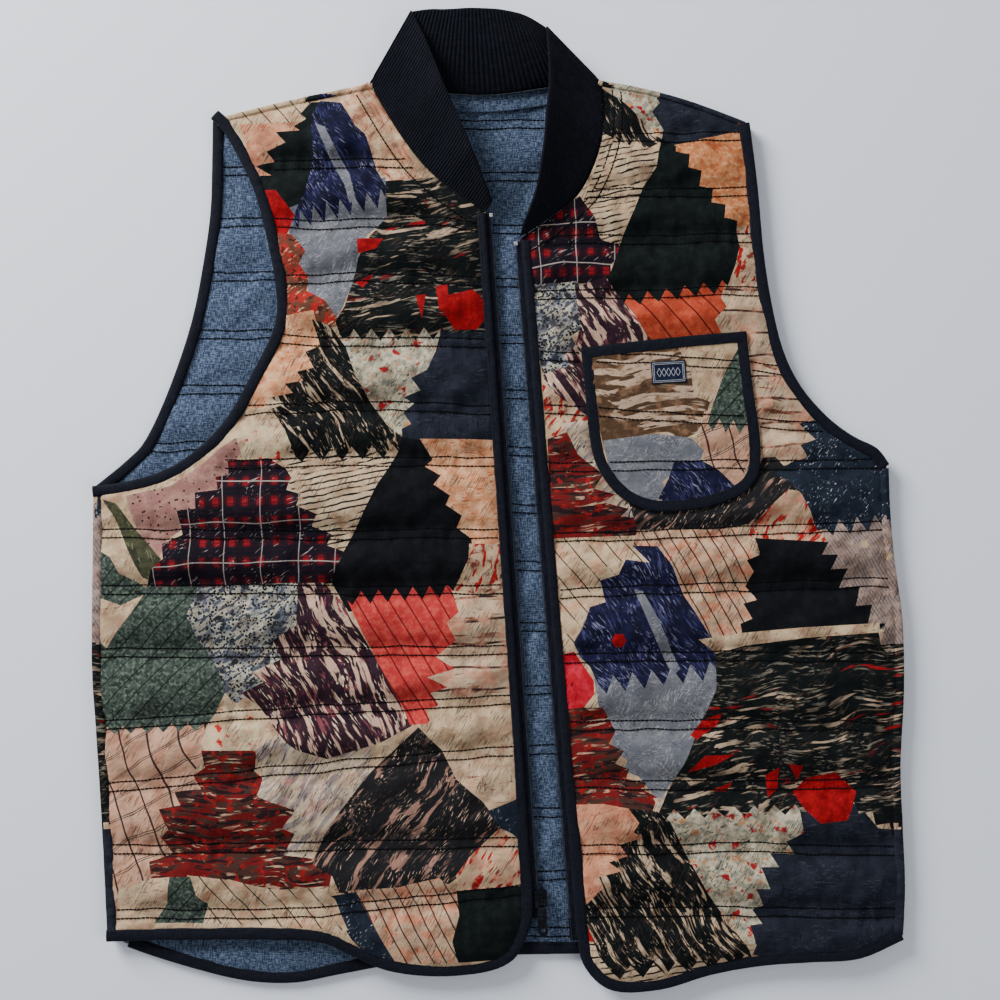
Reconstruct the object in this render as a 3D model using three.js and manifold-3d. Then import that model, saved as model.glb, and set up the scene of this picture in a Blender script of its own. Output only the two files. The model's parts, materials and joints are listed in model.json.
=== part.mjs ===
// Quilted sleeveless vest with a rib-knit stand collar, bound edges, a separating
// front zip and one chest patch pocket. It lies flat on its back, front up, unzipped.
// Millimetres, +X towards the wearer's left, +Y towards the collar, +Z up.
import * as THREE from 'three';
import { mergeVertices } from 'three/addons/utils/BufferGeometryUtils.js';
import Module from 'manifold-3d';

const wasm = await Module();
wasm.setup();

// Overall sizes of the garment laid flat
const BODY_WIDTH = 605; // across the side seams
const BODY_LENGTH = 733; // collar edge to the lowest hem

// Cloth layers
const GAP = 0.3; // clearance between separate pieces
const SHELL = 1.0; // printed outer cloth
const WADDING = 1.8; // sheet of wadding between shell and lining
const LINING = 0.8; // woven inner cloth
const LOFT = 1.8; // room between the back and the fronts lying on it

// Edge finishes
const BINDING = 8.6; // folded binding on armholes and hems
const FRONT_BINDING = 6.6; // the same binding where the zip tape is sewn in
const BINDING_SWELL = 0.8; // how far binding stands over the cloth
const SIDE_SEAM = 7.0; // side seam allowance, wrapped to the front
const SHOULDER_SEAM = 4.0;
const NECK_TAPE = 10.0;

// Rib-knit collar
const RIB = 3.0; // thickness of the folded rib
const COLLAR_STANDOFF = 2.2; // from the neck seam to the rib
const COLLAR_RISE = 36; // highest point of the front lengths over the floor
const COLLAR_BACK_RISE = 27; // highest point of the back length

// Zip
const TAPE = 0.6; // tape thickness
const TAPE_SEWN = 4.2; // width of tape inside the binding
const COIL_RADIUS = 1.0;
const SLIDER_WIDTH = 9.4;
const SLIDER_CLEAR = 1.3; // from the slider's side to the binding
const SLIDER_WALL = 0.5; // half the wall between its two channels
const SLIDER_LENGTH = 12;
// Width of tape outside the binding: enough for the slider to run clear of the cloth
const TAPE_SHOWN = SLIDER_CLEAR + SLIDER_WIDTH / 2 - SLIDER_WALL - 2 * (COIL_RADIUS + GAP);
const SLIDER_PLATE = 1.2;
const PULL_LENGTH = 27;
const PULL_WIDTH = 7;
const STOP_LENGTH = 3;
const BOX_LENGTH = 7;
const PIN_LENGTH = 16;

// Pocket
const POCKET_CLOTH = 1.0;
const POCKET_BINDING = 8.2;
const LABEL_WIDTH = 26;
const LABEL_HEIGHT = 17;

// Heights of the layers, floor upwards
const BACK_TOP = SHELL + GAP + WADDING + GAP + LINING;
const BACK_BINDING_TOP = BACK_TOP + BINDING_SWELL;
const FRONT_LINING_Z = BACK_TOP + LOFT;
const FRONT_WADDING_Z = FRONT_LINING_Z + LINING + GAP;
const FRONT_SHELL_Z = FRONT_WADDING_Z + WADDING + GAP;
const FRONT_TOP = FRONT_SHELL_Z + SHELL;
const FRONT_BINDING_TOP = FRONT_TOP + BINDING_SWELL;
const TAPE_Z = (FRONT_LINING_Z + FRONT_TOP) / 2 - TAPE / 2 - 0.3;
const COIL_Z = TAPE_Z + TAPE / 2;
const POCKET_Z = FRONT_TOP + GAP;
const POCKET_TOP = POCKET_Z + POCKET_CLOTH;

const cloth = {
  shell: { color: 0x8f7c68, roughness: 0.85, metalness: 0 },
  lining: { color: 0x5a7294, roughness: 0.85, metalness: 0 },
  wadding: { color: 0xe6e1d6, roughness: 0.95, metalness: 0 },
  binding: { color: 0x1c2130, roughness: 0.75, metalness: 0 },
  rib: { color: 0x181b26, roughness: 0.9, metalness: 0 },
  tape: { color: 0x141722, roughness: 0.8, metalness: 0 },
  coil: { color: 0x10131c, roughness: 0.4, metalness: 0 },
  metal: { color: 0x23242a, roughness: 0.35, metalness: 0.8 },
  label: { color: 0x1d2a4c, roughness: 0.7, metalness: 0 },
};

// A place on the laid-out garment: u from -1 at one side to 1 at the other,
// v from -1 at the lowest hem to 1 at the collar edge.
function at([u, v]) {
  return new THREE.Vector2((u * BODY_WIDTH) / 2, (v * BODY_LENGTH) / 2);
}

// A smooth seam or edge line through a few places
function line(places, steps = 4) {
  return new THREE.SplineCurve(places.map(at)).getPoints((places.length - 1) * steps);
}

const NECK_BACK = line([[0.269, 0.859], [0.133, 0.84], [-0.016, 0.824], [-0.165, 0.83],
  [-0.326, 0.853]], 3);
const SHOULDER_LEFT = line([[-0.326, 0.853], [-0.534, 0.816], [-0.72, 0.777]], 3);
const SHOULDER_RIGHT = line([[0.638, 0.769], [0.504, 0.812], [0.38, 0.842],
  [0.269, 0.859]], 2);
const SIDE_LEFT = line([[-1, 0.011], [-0.998, -0.14], [-0.995, -0.345], [-0.983, -0.468],
  [-0.968, -0.611], [-0.955, -0.754], [-0.943, -0.902]], 2);
const SIDE_RIGHT = line([[0.985, -0.898], [0.993, -0.795], [0.99, -0.668], [0.988, -0.55],
  [1, -0.406], [1, -0.263], [0.983, -0.14], [0.975, -0.038], [0.973, 0.056]], 2);
const ARMHOLE_BACK_LEFT = line([[-0.72, 0.777], [-0.72, 0.699], [-0.722, 0.589],
  [-0.737, 0.484], [-0.765, 0.355], [-0.817, 0.218], [-0.874, 0.11], [-0.923, 0.064],
  [-1, 0.011]], 3);
const ARMHOLE_BACK_RIGHT = line([[0.973, 0.056], [0.926, 0.081], [0.879, 0.101],
  [0.814, 0.14], [0.747, 0.206], [0.7, 0.29], [0.673, 0.392], [0.656, 0.503],
  [0.643, 0.634], [0.638, 0.769]], 3);
const HEM_BACK = line([[-0.943, -0.902], [-0.834, -0.934], [-0.695, -0.967],
  [-0.591, -0.984], [-0.487, -0.986], [-0.388, -0.971], [-0.239, -0.949],
  [-0.066, -0.934], [0.133, -0.93], [0.38, -0.926], [0.703, -0.914], [0.985, -0.898]], 3);
const ARMHOLE_FRONT_LEFT = line([[-0.72, 0.777], [-0.688, 0.75], [-0.643, 0.685],
  [-0.606, 0.617], [-0.576, 0.525], [-0.554, 0.433], [-0.553, 0.345], [-0.613, 0.236],
  [-0.678, 0.142], [-0.76, 0.075], [-0.834, 0.04], [-0.918, 0.02], [-1, 0.011]], 3);
const ARMHOLE_FRONT_RIGHT = line([[0.973, 0.056], [0.943, 0.089], [0.884, 0.114],
  [0.822, 0.153], [0.757, 0.216], [0.713, 0.294], [0.685, 0.398], [0.668, 0.503],
  [0.656, 0.634], [0.638, 0.769]], 3);
const NECK_FRONT_LEFT = line([[-0.029, 0.578], [-0.11, 0.621], [-0.177, 0.668],
  [-0.234, 0.726], [-0.276, 0.781], [-0.326, 0.853]], 2);
const NECK_FRONT_RIGHT = line([[0.269, 0.859], [0.276, 0.781], [0.259, 0.699],
  [0.212, 0.617], [0.143, 0.568], [0.063, 0.523]], 2);

// The zip lines: straight, so that the slider can run along them
const CHAIN_LEFT = [at([-0.014, 0.578]), at([0.105, -0.855])]; // top, bottom
const CHAIN_RIGHT = [at([0.048, 0.518]), at([0.182, -0.9])];
const CHAIN_OFFSET = TAPE_SHOWN + GAP + COIL_RADIUS; // coil line from the cloth edge

// The cloth of each front folds back along its line, collar corner to hem corner
const FOLD_LEFT = [at([-0.219, 1]), at([-0.953, -0.898])];
const FOLD_RIGHT = [at([0.128, 0.965]), at([0.988, -0.918])];

const POCKET_TOP_EDGE = line([[0.621, 0.329], [0.415, 0.313], [0.209, 0.294]], 2);
const POCKET_SIDES = line([[0.209, 0.294], [0.217, 0.222], [0.234, 0.087],
  [0.264, 0.026], [0.309, -0.015], [0.368, -0.038], [0.44, -0.042], [0.522, -0.032],
  [0.599, -0.009], [0.641, 0.026], [0.653, 0.075], [0.648, 0.138], [0.636, 0.206],
  [0.621, 0.329]], 2);
const LABEL_PLACE = at([0.426, 0.243]);
const LABEL_TILT = 0.06;

// The cloth edge beside a zip line: straight, then round the corner into the hem
function beside(chain, side, share) {
  const p = new THREE.Vector2().lerpVectors(chain[0], chain[1], share);
  const d = new THREE.Vector2().subVectors(chain[1], chain[0]).normalize();
  return p.addScaledVector(new THREE.Vector2(-d.y, d.x), side * CHAIN_OFFSET);
}

function hemLeft() {
  const hem = [[-0.943, -0.902], [-0.784, -0.898], [-0.586, -0.896], [-0.432, -0.9],
    [-0.358, -0.924], [-0.264, -0.957], [-0.147, -0.969], [-0.029, -0.961],
    [0.04, -0.937], [0.074, -0.89]].map(at);
  const rising = [0.985, 0.9, 0.7, 0.45, 0.2, 0].map((s) => beside(CHAIN_LEFT, -1, s));
  return new THREE.SplineCurve([...hem, ...rising]).getPoints(48);
}

function hemRight() {
  const falling = [0, 0.2, 0.45, 0.7, 0.9, 0.995].map((s) => beside(CHAIN_RIGHT, 1, s));
  const hem = [[0.216, -0.955], [0.281, -0.996], [0.398, -0.994], [0.517, -0.967],
    [0.638, -0.949], [0.757, -0.941], [0.879, -0.934], [0.985, -0.898]].map(at);
  return new THREE.SplineCurve([...falling, ...hem]).getPoints(48);
}

const EDGE_LEFT = hemLeft();
const EDGE_RIGHT = hemRight();

// Joins edge lines that run on from each other into one closed outline
function outline(...edges) {
  const points = [];
  for (const edge of edges) {
    for (const p of edge) {
      const last = points[points.length - 1];
      if (!last || last.distanceTo(p) > 0.4) points.push(p);
    }
  }
  if (points[0].distanceTo(points[points.length - 1]) < 0.4) points.pop();
  return points;
}

const BACK = outline(SHOULDER_LEFT, ARMHOLE_BACK_LEFT, SIDE_LEFT, HEM_BACK, SIDE_RIGHT,
  ARMHOLE_BACK_RIGHT, SHOULDER_RIGHT, NECK_BACK);
const FRONT_LEFT = outline(SHOULDER_LEFT, ARMHOLE_FRONT_LEFT, SIDE_LEFT, EDGE_LEFT,
  NECK_FRONT_LEFT);
const FRONT_RIGHT = outline(EDGE_RIGHT, SIDE_RIGHT, ARMHOLE_FRONT_RIGHT, SHOULDER_RIGHT,
  NECK_FRONT_RIGHT);
const POCKET = outline(POCKET_SIDES, POCKET_TOP_EDGE);

function toSolid(geometry) {
  const g = geometry.clone();
  g.deleteAttribute('normal');
  g.deleteAttribute('uv');
  const merged = mergeVertices(g, 1e-4);
  return new wasm.Manifold(new wasm.Mesh({
    numProp: 3,
    vertProperties: new Float32Array(merged.attributes.position.array),
    triVerts: new Uint32Array(merged.index.array),
  }));
}

function toGeometry(solid) {
  const mesh = solid.getMesh();
  const g = new THREE.BufferGeometry();
  g.setAttribute('position', new THREE.BufferAttribute(new Float32Array(mesh.vertProperties), 3));
  g.setIndex(new THREE.BufferAttribute(new Uint32Array(mesh.triVerts), 1));
  g.computeVertexNormals();
  return g;
}

// A flat piece with this outline, between two heights
function slab(points, low, high) {
  const g = new THREE.ExtrudeGeometry(new THREE.Shape(points), {
    depth: high - low,
    bevelEnabled: false,
    curveSegments: 1,
  });
  g.translate(0, 0, low);
  return toSolid(g);
}

// Where a line moves to when it is shifted sideways, positive to its left
function shifted(edge, distance) {
  return edge.map((p, i) => {
    const a = edge[Math.max(i - 1, 0)];
    const b = edge[Math.min(i + 1, edge.length - 1)];
    const d = new THREE.Vector2().subVectors(b, a).normalize();
    const width = typeof distance === 'function' ? distance(i / (edge.length - 1)) : distance;
    return new THREE.Vector2(p.x - d.y * width, p.y + d.x * width);
  });
}

// A strip of this width inside an edge, running past its ends and its outer side
function band(edge, width, low = -50, high = 80, past = 12) {
  const first = new THREE.Vector2().subVectors(edge[0], edge[1]).normalize();
  const n = edge.length - 1;
  const last = new THREE.Vector2().subVectors(edge[n], edge[n - 1]).normalize();
  const long = [edge[0].clone().addScaledVector(first, past), ...edge,
    edge[n].clone().addScaledVector(last, past)];
  const inside = shifted(long, width).reverse();
  return slab([...shifted(long, -3), ...inside], low, high);
}

function less(solid, ...cutters) {
  let left = solid;
  for (const cutter of cutters) left = left.subtract(cutter);
  return left;
}

// One side of a fold line, up to half a gap from it
function halfOf(fold, side) {
  const [a, b] = fold;
  const d = new THREE.Vector2().subVectors(b, a).normalize();
  const n = new THREE.Vector2(-d.y, d.x).multiplyScalar(side);
  const top = a.clone().addScaledVector(d, -300).addScaledVector(n, 0.5);
  const foot = b.clone().addScaledVector(d, 300).addScaledVector(n, 0.5);
  const far = 1400;
  return slab([top, foot, foot.clone().addScaledVector(n, far),
    top.clone().addScaledVector(n, far)], -50, 90);
}

const object = new THREE.Group();

function add(name, geometry, look, parent = object) {
  const mesh = new THREE.Mesh(geometry, new THREE.MeshStandardMaterial(look));
  mesh.name = name;
  parent.add(mesh);
  return mesh;
}

function wideFront(share) {
  const corner = 0.42;
  const t = THREE.MathUtils.smoothstep(share, corner, corner + 0.12);
  return THREE.MathUtils.lerp(BINDING, FRONT_BINDING, t);
}

function wideFrontRight(share) {
  const corner = 0.5;
  const t = THREE.MathUtils.smoothstep(share, corner, corner + 0.1);
  return THREE.MathUtils.lerp(FRONT_BINDING, BINDING, t);
}

// Zip tape as a flat strip along its line; grow makes the slot that it is sewn into
function tapeSolid(chain, side, grow) {
  const d = new THREE.Vector2().subVectors(chain[1], chain[0]).normalize();
  const n = new THREE.Vector2(-d.y, d.x).multiplyScalar(side);
  const near = -COIL_RADIUS - GAP;
  const inner = CHAIN_OFFSET + TAPE_SEWN + grow;
  const top = chain[0].clone().addScaledVector(d, -grow);
  const foot = chain[1].clone().addScaledVector(d, grow);
  const strip = [top.clone().addScaledVector(n, -near),
    foot.clone().addScaledVector(n, -near), foot.clone().addScaledVector(n, inner),
    top.clone().addScaledVector(n, inner)];
  return slab(strip, TAPE_Z - grow, TAPE_Z + TAPE + grow);
}

function makeBack() {
  const trims = [band(SIDE_LEFT, SIDE_SEAM + GAP), band(SIDE_RIGHT, SIDE_SEAM + GAP),
    band(SHOULDER_LEFT, SHOULDER_SEAM + GAP), band(SHOULDER_RIGHT, SHOULDER_SEAM + GAP)];
  const bound = [band(ARMHOLE_BACK_LEFT, BINDING + GAP), band(HEM_BACK, BINDING + GAP),
    band(ARMHOLE_BACK_RIGHT, BINDING + GAP)];
  const layers = [['back_shell', 0, SHELL, cloth.shell],
    ['back_wadding', SHELL + GAP, SHELL + GAP + WADDING, cloth.wadding],
    ['back_lining', BACK_TOP - LINING, BACK_TOP, cloth.lining]];
  for (const [name, low, high, look] of layers) {
    add(name, toGeometry(less(slab(BACK, low, high), ...trims, ...bound)), look);
  }
  const whole = slab(BACK, 0, BACK_BINDING_TOP);
  const hem = less(whole.intersect(band(HEM_BACK, BINDING)), trims[0], trims[1]);
  add('back_hem_binding', toGeometry(hem), cloth.binding);
  const left = whole.intersect(band(ARMHOLE_BACK_LEFT, BINDING));
  add('armhole_binding_back_left', toGeometry(less(left, trims[0], trims[2])), cloth.binding);
  const right = whole.intersect(band(ARMHOLE_BACK_RIGHT, BINDING));
  add('armhole_binding_back_right', toGeometry(less(right, trims[1], trims[3])), cloth.binding);
  const tapeLine = NECK_BACK.slice(1, -1);
  const tape = slab([...shifted(tapeLine, 1), ...shifted(tapeLine, 1 + NECK_TAPE).reverse()],
    BACK_TOP + GAP, BACK_TOP + GAP + TAPE);
  add('back_neck_tape', toGeometry(tape), cloth.tape);
}

function makeSeams() {
  const sides = [['side_seam_left', SIDE_LEFT, FRONT_LEFT, SIDE_SEAM],
    ['side_seam_right', SIDE_RIGHT, FRONT_RIGHT, SIDE_SEAM],
    ['shoulder_seam_left', SHOULDER_LEFT, FRONT_LEFT, SHOULDER_SEAM],
    ['shoulder_seam_right', SHOULDER_RIGHT, FRONT_RIGHT, SHOULDER_SEAM]];
  for (const [name, edge, shape, width] of sides) {
    const seam = slab(shape, 0, FRONT_TOP).intersect(band(edge, width));
    add(name, toGeometry(seam), cloth.shell);
  }
}

// One front: its three layers split along the fold line, and its bindings
function makeFront(side) {
  const left = side === 'left';
  const shape = left ? FRONT_LEFT : FRONT_RIGHT;
  const sideLine = left ? SIDE_LEFT : SIDE_RIGHT;
  const shoulder = left ? SHOULDER_LEFT : SHOULDER_RIGHT;
  const armhole = left ? ARMHOLE_FRONT_LEFT : ARMHOLE_FRONT_RIGHT;
  const edge = left ? EDGE_LEFT : EDGE_RIGHT;
  const neck = left ? NECK_FRONT_LEFT : NECK_FRONT_RIGHT;
  const chain = left ? CHAIN_LEFT : CHAIN_RIGHT;
  const fold = left ? FOLD_LEFT : FOLD_RIGHT;
  const wide = left ? wideFront : wideFrontRight;
  const seams = [band(sideLine, SIDE_SEAM + GAP), band(shoulder, SHOULDER_SEAM + GAP)];
  const bound = [band(armhole, BINDING + GAP), band(edge, (s) => wide(s) + GAP),
    band(neck, GAP)];
  const outer = halfOf(fold, left ? -1 : 1);
  const inner = halfOf(fold, left ? 1 : -1);
  const layers = [['shell', FRONT_SHELL_Z, FRONT_TOP, cloth.shell],
    ['wadding', FRONT_WADDING_Z, FRONT_WADDING_Z + WADDING, cloth.wadding],
    ['lining', FRONT_LINING_Z, FRONT_LINING_Z + LINING, cloth.lining]];
  for (const [kind, low, high, look] of layers) {
    const layer = less(slab(shape, low, high), ...seams, ...bound);
    add(`front_${side}_side_${kind}`, toGeometry(layer.intersect(outer)), look);
    add(`front_${side}_${kind}`, toGeometry(layer.intersect(inner)), look);
  }
  const whole = slab(shape, FRONT_LINING_Z, FRONT_BINDING_TOP);
  const arm = less(whole.intersect(band(armhole, BINDING)), ...seams);
  add(`armhole_binding_front_${side}`, toGeometry(arm), cloth.binding);
  const slot = tapeSolid(chain, left ? -1 : 1, GAP);
  const rim = less(whole.intersect(band(edge, wide)), ...seams, slot, band(neck, GAP));
  add(`front_binding_${side}`, toGeometry(rim), cloth.binding);
}

// A thick sheet between two lines in space, with this many steps along and across
function ribSheet(low, high, along, across, thick) {
  const g = new THREE.BoxGeometry(1, 1, 1, along, across, 1);
  const lowCurve = new THREE.CatmullRomCurve3(low);
  const highCurve = new THREE.CatmullRomCurve3(high);
  const p = g.attributes.position;
  const place = (u, v) => lowCurve.getPoint(u).lerp(highCurve.getPoint(u), v);
  for (let i = 0; i < p.count; i += 1) {
    const u = p.getX(i) + 0.5;
    const v = p.getY(i) + 0.5;
    const e = 0.01;
    const du = place(Math.min(u + e, 1), v).sub(place(Math.max(u - e, 0), v));
    const dv = place(u, Math.min(v + e, 1)).sub(place(u, Math.max(v - e, 0)));
    const n = du.cross(dv).normalize().multiplyScalar(p.getZ(i) * thick);
    const q = place(u, v).add(n);
    p.setXYZ(i, q.x, q.y, q.z);
  }
  return toSolid(g);
}

function raised(point, height) {
  return new THREE.Vector3(point.x, point.y, height);
}

// The collar is one rib band: a back length, a turn at each shoulder, two front lengths
function makeCollar() {
  const seam = shifted(NECK_BACK.slice(1, -1), -COLLAR_STANDOFF).reverse();
  const low = seam.map((p) => raised(p, BACK_TOP));
  const high = [[-0.205, 0.985], [-0.14, 0.99], [-0.041, 0.988], [0.058, 0.98],
    [0.118, 0.955]].map(at);
  const rise = [0.76, 0.92, 1, 0.95, 0.76];
  const back = ribSheet(low, high.map((p, i) => raised(p, COLLAR_BACK_RISE * rise[i])), 14, 4, RIB);
  add('rib_collar_back', toGeometry(back), cloth.rib);
}

function makeFrontCollar(side) {
  const left = side === 'left';
  const fold = left ? FOLD_LEFT : FOLD_RIGHT;
  const neck = left ? NECK_FRONT_LEFT : NECK_FRONT_RIGHT;
  const seam = shifted(neck, -COLLAR_STANDOFF);
  if (left) seam.reverse();
  const edgeLeft = [[-0.216, 0.988], [-0.18, 0.924], [-0.14, 0.842], [-0.066, 0.699],
    [-0.01, 0.6]];
  const edgeRight = [[0.128, 0.955], [0.133, 0.842], [0.123, 0.74], [0.1, 0.617],
    [0.068, 0.555]];
  const rise = [0.77, 0.86, 1, 0.94, 0.4];
  const edge = (left ? edgeLeft : edgeRight).map(at);
  const low = seam.map((p) => raised(p, FRONT_WADDING_Z + WADDING));
  const high = edge.map((p, i) => raised(p, COLLAR_RISE * rise[i] - RIB / 2));
  const sheet = left ? ribSheet(low, high, 16, 4, RIB) : ribSheet(high, low, 16, 4, RIB);
  const outer = halfOf(fold, left ? -1 : 1);
  const inner = halfOf(fold, left ? 1 : -1);
  add(`rib_collar_turn_${side}`, toGeometry(sheet.intersect(outer)), cloth.rib);
  add(`rib_collar_${side}`, toGeometry(sheet.intersect(inner)), cloth.rib);
}

// A group whose X runs away from the cloth edge and whose Y runs up the zip,
// with its origin on the coil line at the foot
function zipFrame(chain) {
  const group = new THREE.Group();
  const up = new THREE.Vector2().subVectors(chain[0], chain[1]);
  group.position.set(chain[1].x, chain[1].y, COIL_Z);
  group.rotation.z = Math.atan2(up.y, up.x) - Math.PI / 2;
  object.add(group);
  return group;
}

// Slider body: two plates, a divider between the two channels, and a lip at each side
function sliderSolid() {
  const w = SLIDER_WIDTH / 2;
  const h = COIL_RADIUS + 0.4;
  const t = SLIDER_PLATE;
  const lip = 0.7;
  const slot = TAPE / 2 + GAP;
  const half = [[SLIDER_WALL, h], [w - lip, h], [w - lip, slot], [w, slot], [w, h + t - 0.4],
    [w - 0.5, h + t]];
  const body = new THREE.Shape();
  const right = [...half].reverse();
  const points = [];
  for (const [x, y] of right) points.push([x, y]);
  for (const [x, y] of half) points.push([x, -y]);
  for (const [x, y] of right) points.push([-x, -y]);
  for (const [x, y] of half) points.push([-x, y]);
  body.setFromPoints(points.map(([x, y]) => new THREE.Vector2(x, y)));
  const g = new THREE.ExtrudeGeometry(body, { depth: SLIDER_LENGTH, bevelEnabled: false });
  g.rotateX(Math.PI / 2);
  g.translate(0, SLIDER_LENGTH, 0);
  const crown = new THREE.BoxGeometry(2.4, 7, 2.6);
  crown.translate(0, SLIDER_LENGTH / 2, h + t + 1.2);
  const tunnel = new THREE.BoxGeometry(6, 2.4, 2.0);
  tunnel.translate(0, SLIDER_LENGTH / 2, h + t + 1.3);
  return toSolid(g).add(toSolid(crown)).subtract(toSolid(tunnel));
}

// Pull: a flat tab whose top bar runs through the slider's crown
function pullSolid() {
  const w = PULL_WIDTH / 2;
  const outer = [[-w + 1, 0.7], [w - 1, 0.7], [w - 1, -5.6], [w, -8], [w, 3 - PULL_LENGTH],
    [w - 2, -PULL_LENGTH], [2 - w, -PULL_LENGTH], [-w, 3 - PULL_LENGTH], [-w, -8],
    [-w + 1, -5.6]];
  const shape = new THREE.Shape(outer.map(([x, y]) => new THREE.Vector2(x, y)));
  const window = [[-1.6, -0.6], [-1.6, -5], [1.6, -5], [1.6, -0.6]];
  shape.holes.push(new THREE.Path(window.map(([x, y]) => new THREE.Vector2(x, y))));
  const eye = [];
  for (let i = 0; i < 10; i += 1) {
    const turn = (i * Math.PI) / 5;
    eye.push(new THREE.Vector2(1.6 * Math.cos(turn), 5 - PULL_LENGTH + 1.6 * Math.sin(turn)));
  }
  shape.holes.push(new THREE.Path(eye));
  const g = new THREE.ExtrudeGeometry(shape, { depth: 1.2, bevelEnabled: false,
    curveSegments: 6 });
  g.translate(0, 0, -0.6);
  return toSolid(g);
}

function makeZip(side) {
  const left = side === 'left';
  const chain = left ? CHAIN_LEFT : CHAIN_RIGHT;
  const length = chain[0].distanceTo(chain[1]);
  add(`zip_tape_${side}`, toGeometry(tapeSolid(chain, left ? -1 : 1, 0)), cloth.tape);
  const frame = zipFrame(chain);
  const bottom = left ? BOX_LENGTH + GAP : PIN_LENGTH + GAP;
  const coilLength = length - bottom - STOP_LENGTH - GAP;
  const coil = new THREE.CylinderGeometry(COIL_RADIUS, COIL_RADIUS, coilLength, 10);
  const coilMesh = add(`zip_coil_${side}`, coil, cloth.coil, frame);
  coilMesh.position.y = bottom + coilLength / 2;
  const stop = add(`zip_top_stop_${side}`, new THREE.BoxGeometry(2.6, STOP_LENGTH, 3.2),
    cloth.metal, frame);
  stop.position.y = length - STOP_LENGTH / 2;
  if (left) {
    const box = new THREE.BoxGeometry(5.6, BOX_LENGTH, 4.2);
    const way = new THREE.BoxGeometry(2.6, BOX_LENGTH - 2, 2.6);
    const open = toSolid(box).subtract(toSolid(way.translate(1.2, 2, 0)));
    const boxMesh = add('zip_retainer_box', toGeometry(open), cloth.metal, frame);
    boxMesh.position.set(1.8, BOX_LENGTH / 2, 0);
    const slider = new THREE.Group();
    slider.position.set(COIL_RADIUS + GAP + SLIDER_WALL, bottom + 0.2, 0);
    frame.add(slider);
    add('zip_slider_body', toGeometry(sliderSolid()), cloth.metal, slider);
    const pull = add('zip_pull', toGeometry(pullSolid()), cloth.metal, slider);
    pull.position.set(0, SLIDER_LENGTH / 2, COIL_RADIUS + 0.4 + SLIDER_PLATE + 1.3);
  } else {
    const pin = add('zip_insertion_pin', new THREE.CylinderGeometry(1.1, 1.1, PIN_LENGTH, 12),
      cloth.metal, frame);
    pin.position.y = PIN_LENGTH / 2;
  }
}

function makePocket() {
  const sides = band(POCKET_SIDES, POCKET_BINDING);
  const top = band(POCKET_TOP_EDGE, POCKET_BINDING);
  const sidesWide = band(POCKET_SIDES, POCKET_BINDING + GAP);
  const topWide = band(POCKET_TOP_EDGE, POCKET_BINDING + GAP);
  const high = POCKET_TOP + BINDING_SWELL;
  const patch = less(slab(POCKET, POCKET_Z, POCKET_TOP), sidesWide, topWide);
  add('pocket_patch', toGeometry(patch), cloth.shell);
  const whole = slab(POCKET, POCKET_Z, high);
  add('pocket_side_binding', toGeometry(whole.intersect(sides)), cloth.binding);
  add('pocket_top_binding', toGeometry(less(whole.intersect(top), sidesWide)), cloth.binding);
  const label = add('woven_label', new THREE.BoxGeometry(LABEL_WIDTH, LABEL_HEIGHT, 0.6),
    cloth.label);
  label.position.set(LABEL_PLACE.x, LABEL_PLACE.y, POCKET_TOP + GAP + 0.3);
  label.rotation.z = LABEL_TILT;
}

makeBack();
makeSeams();
makeFront('left');
makeFront('right');
makeCollar();
makeFrontCollar('left');
makeFrontCollar('right');
makeZip('left');
makeZip('right');
makePocket();

// Origin at the middle of the underside
object.updateMatrixWorld(true);
const extent = new THREE.Box3().setFromObject(object, true);
const middle = extent.getCenter(new THREE.Vector3());
object.position.set(-middle.x, -middle.y, -extent.min.z);

export default object;
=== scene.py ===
"""Looks of a quilted sleeveless vest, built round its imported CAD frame.

The printed, quilted cloth, bound edges, rib collar, zip and pocket are mesh pieces here, each in
the place its CAD solids hold. Lengths are written in millimetres and turned into metres by MM.
"""
import json
import math

import bmesh
import bpy
import numpy as np
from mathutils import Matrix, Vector, kdtree, noise
from mathutils.geometry import delaunay_2d_cdt


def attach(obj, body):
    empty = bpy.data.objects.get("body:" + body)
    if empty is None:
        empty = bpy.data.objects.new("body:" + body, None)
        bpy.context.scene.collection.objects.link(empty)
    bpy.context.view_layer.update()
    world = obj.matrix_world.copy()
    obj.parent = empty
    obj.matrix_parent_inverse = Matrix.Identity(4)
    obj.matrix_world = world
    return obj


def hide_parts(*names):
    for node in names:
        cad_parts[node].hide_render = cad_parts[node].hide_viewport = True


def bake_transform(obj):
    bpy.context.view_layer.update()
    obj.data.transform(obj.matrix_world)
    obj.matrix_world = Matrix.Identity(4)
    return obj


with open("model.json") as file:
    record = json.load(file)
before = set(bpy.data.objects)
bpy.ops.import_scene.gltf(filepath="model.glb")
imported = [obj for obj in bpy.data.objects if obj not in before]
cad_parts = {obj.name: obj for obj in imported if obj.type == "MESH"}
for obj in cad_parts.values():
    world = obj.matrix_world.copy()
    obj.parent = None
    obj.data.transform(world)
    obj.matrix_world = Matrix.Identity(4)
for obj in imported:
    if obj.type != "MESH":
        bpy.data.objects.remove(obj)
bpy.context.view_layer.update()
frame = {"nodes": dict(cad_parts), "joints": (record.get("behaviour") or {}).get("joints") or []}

MM = 0.001

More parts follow.
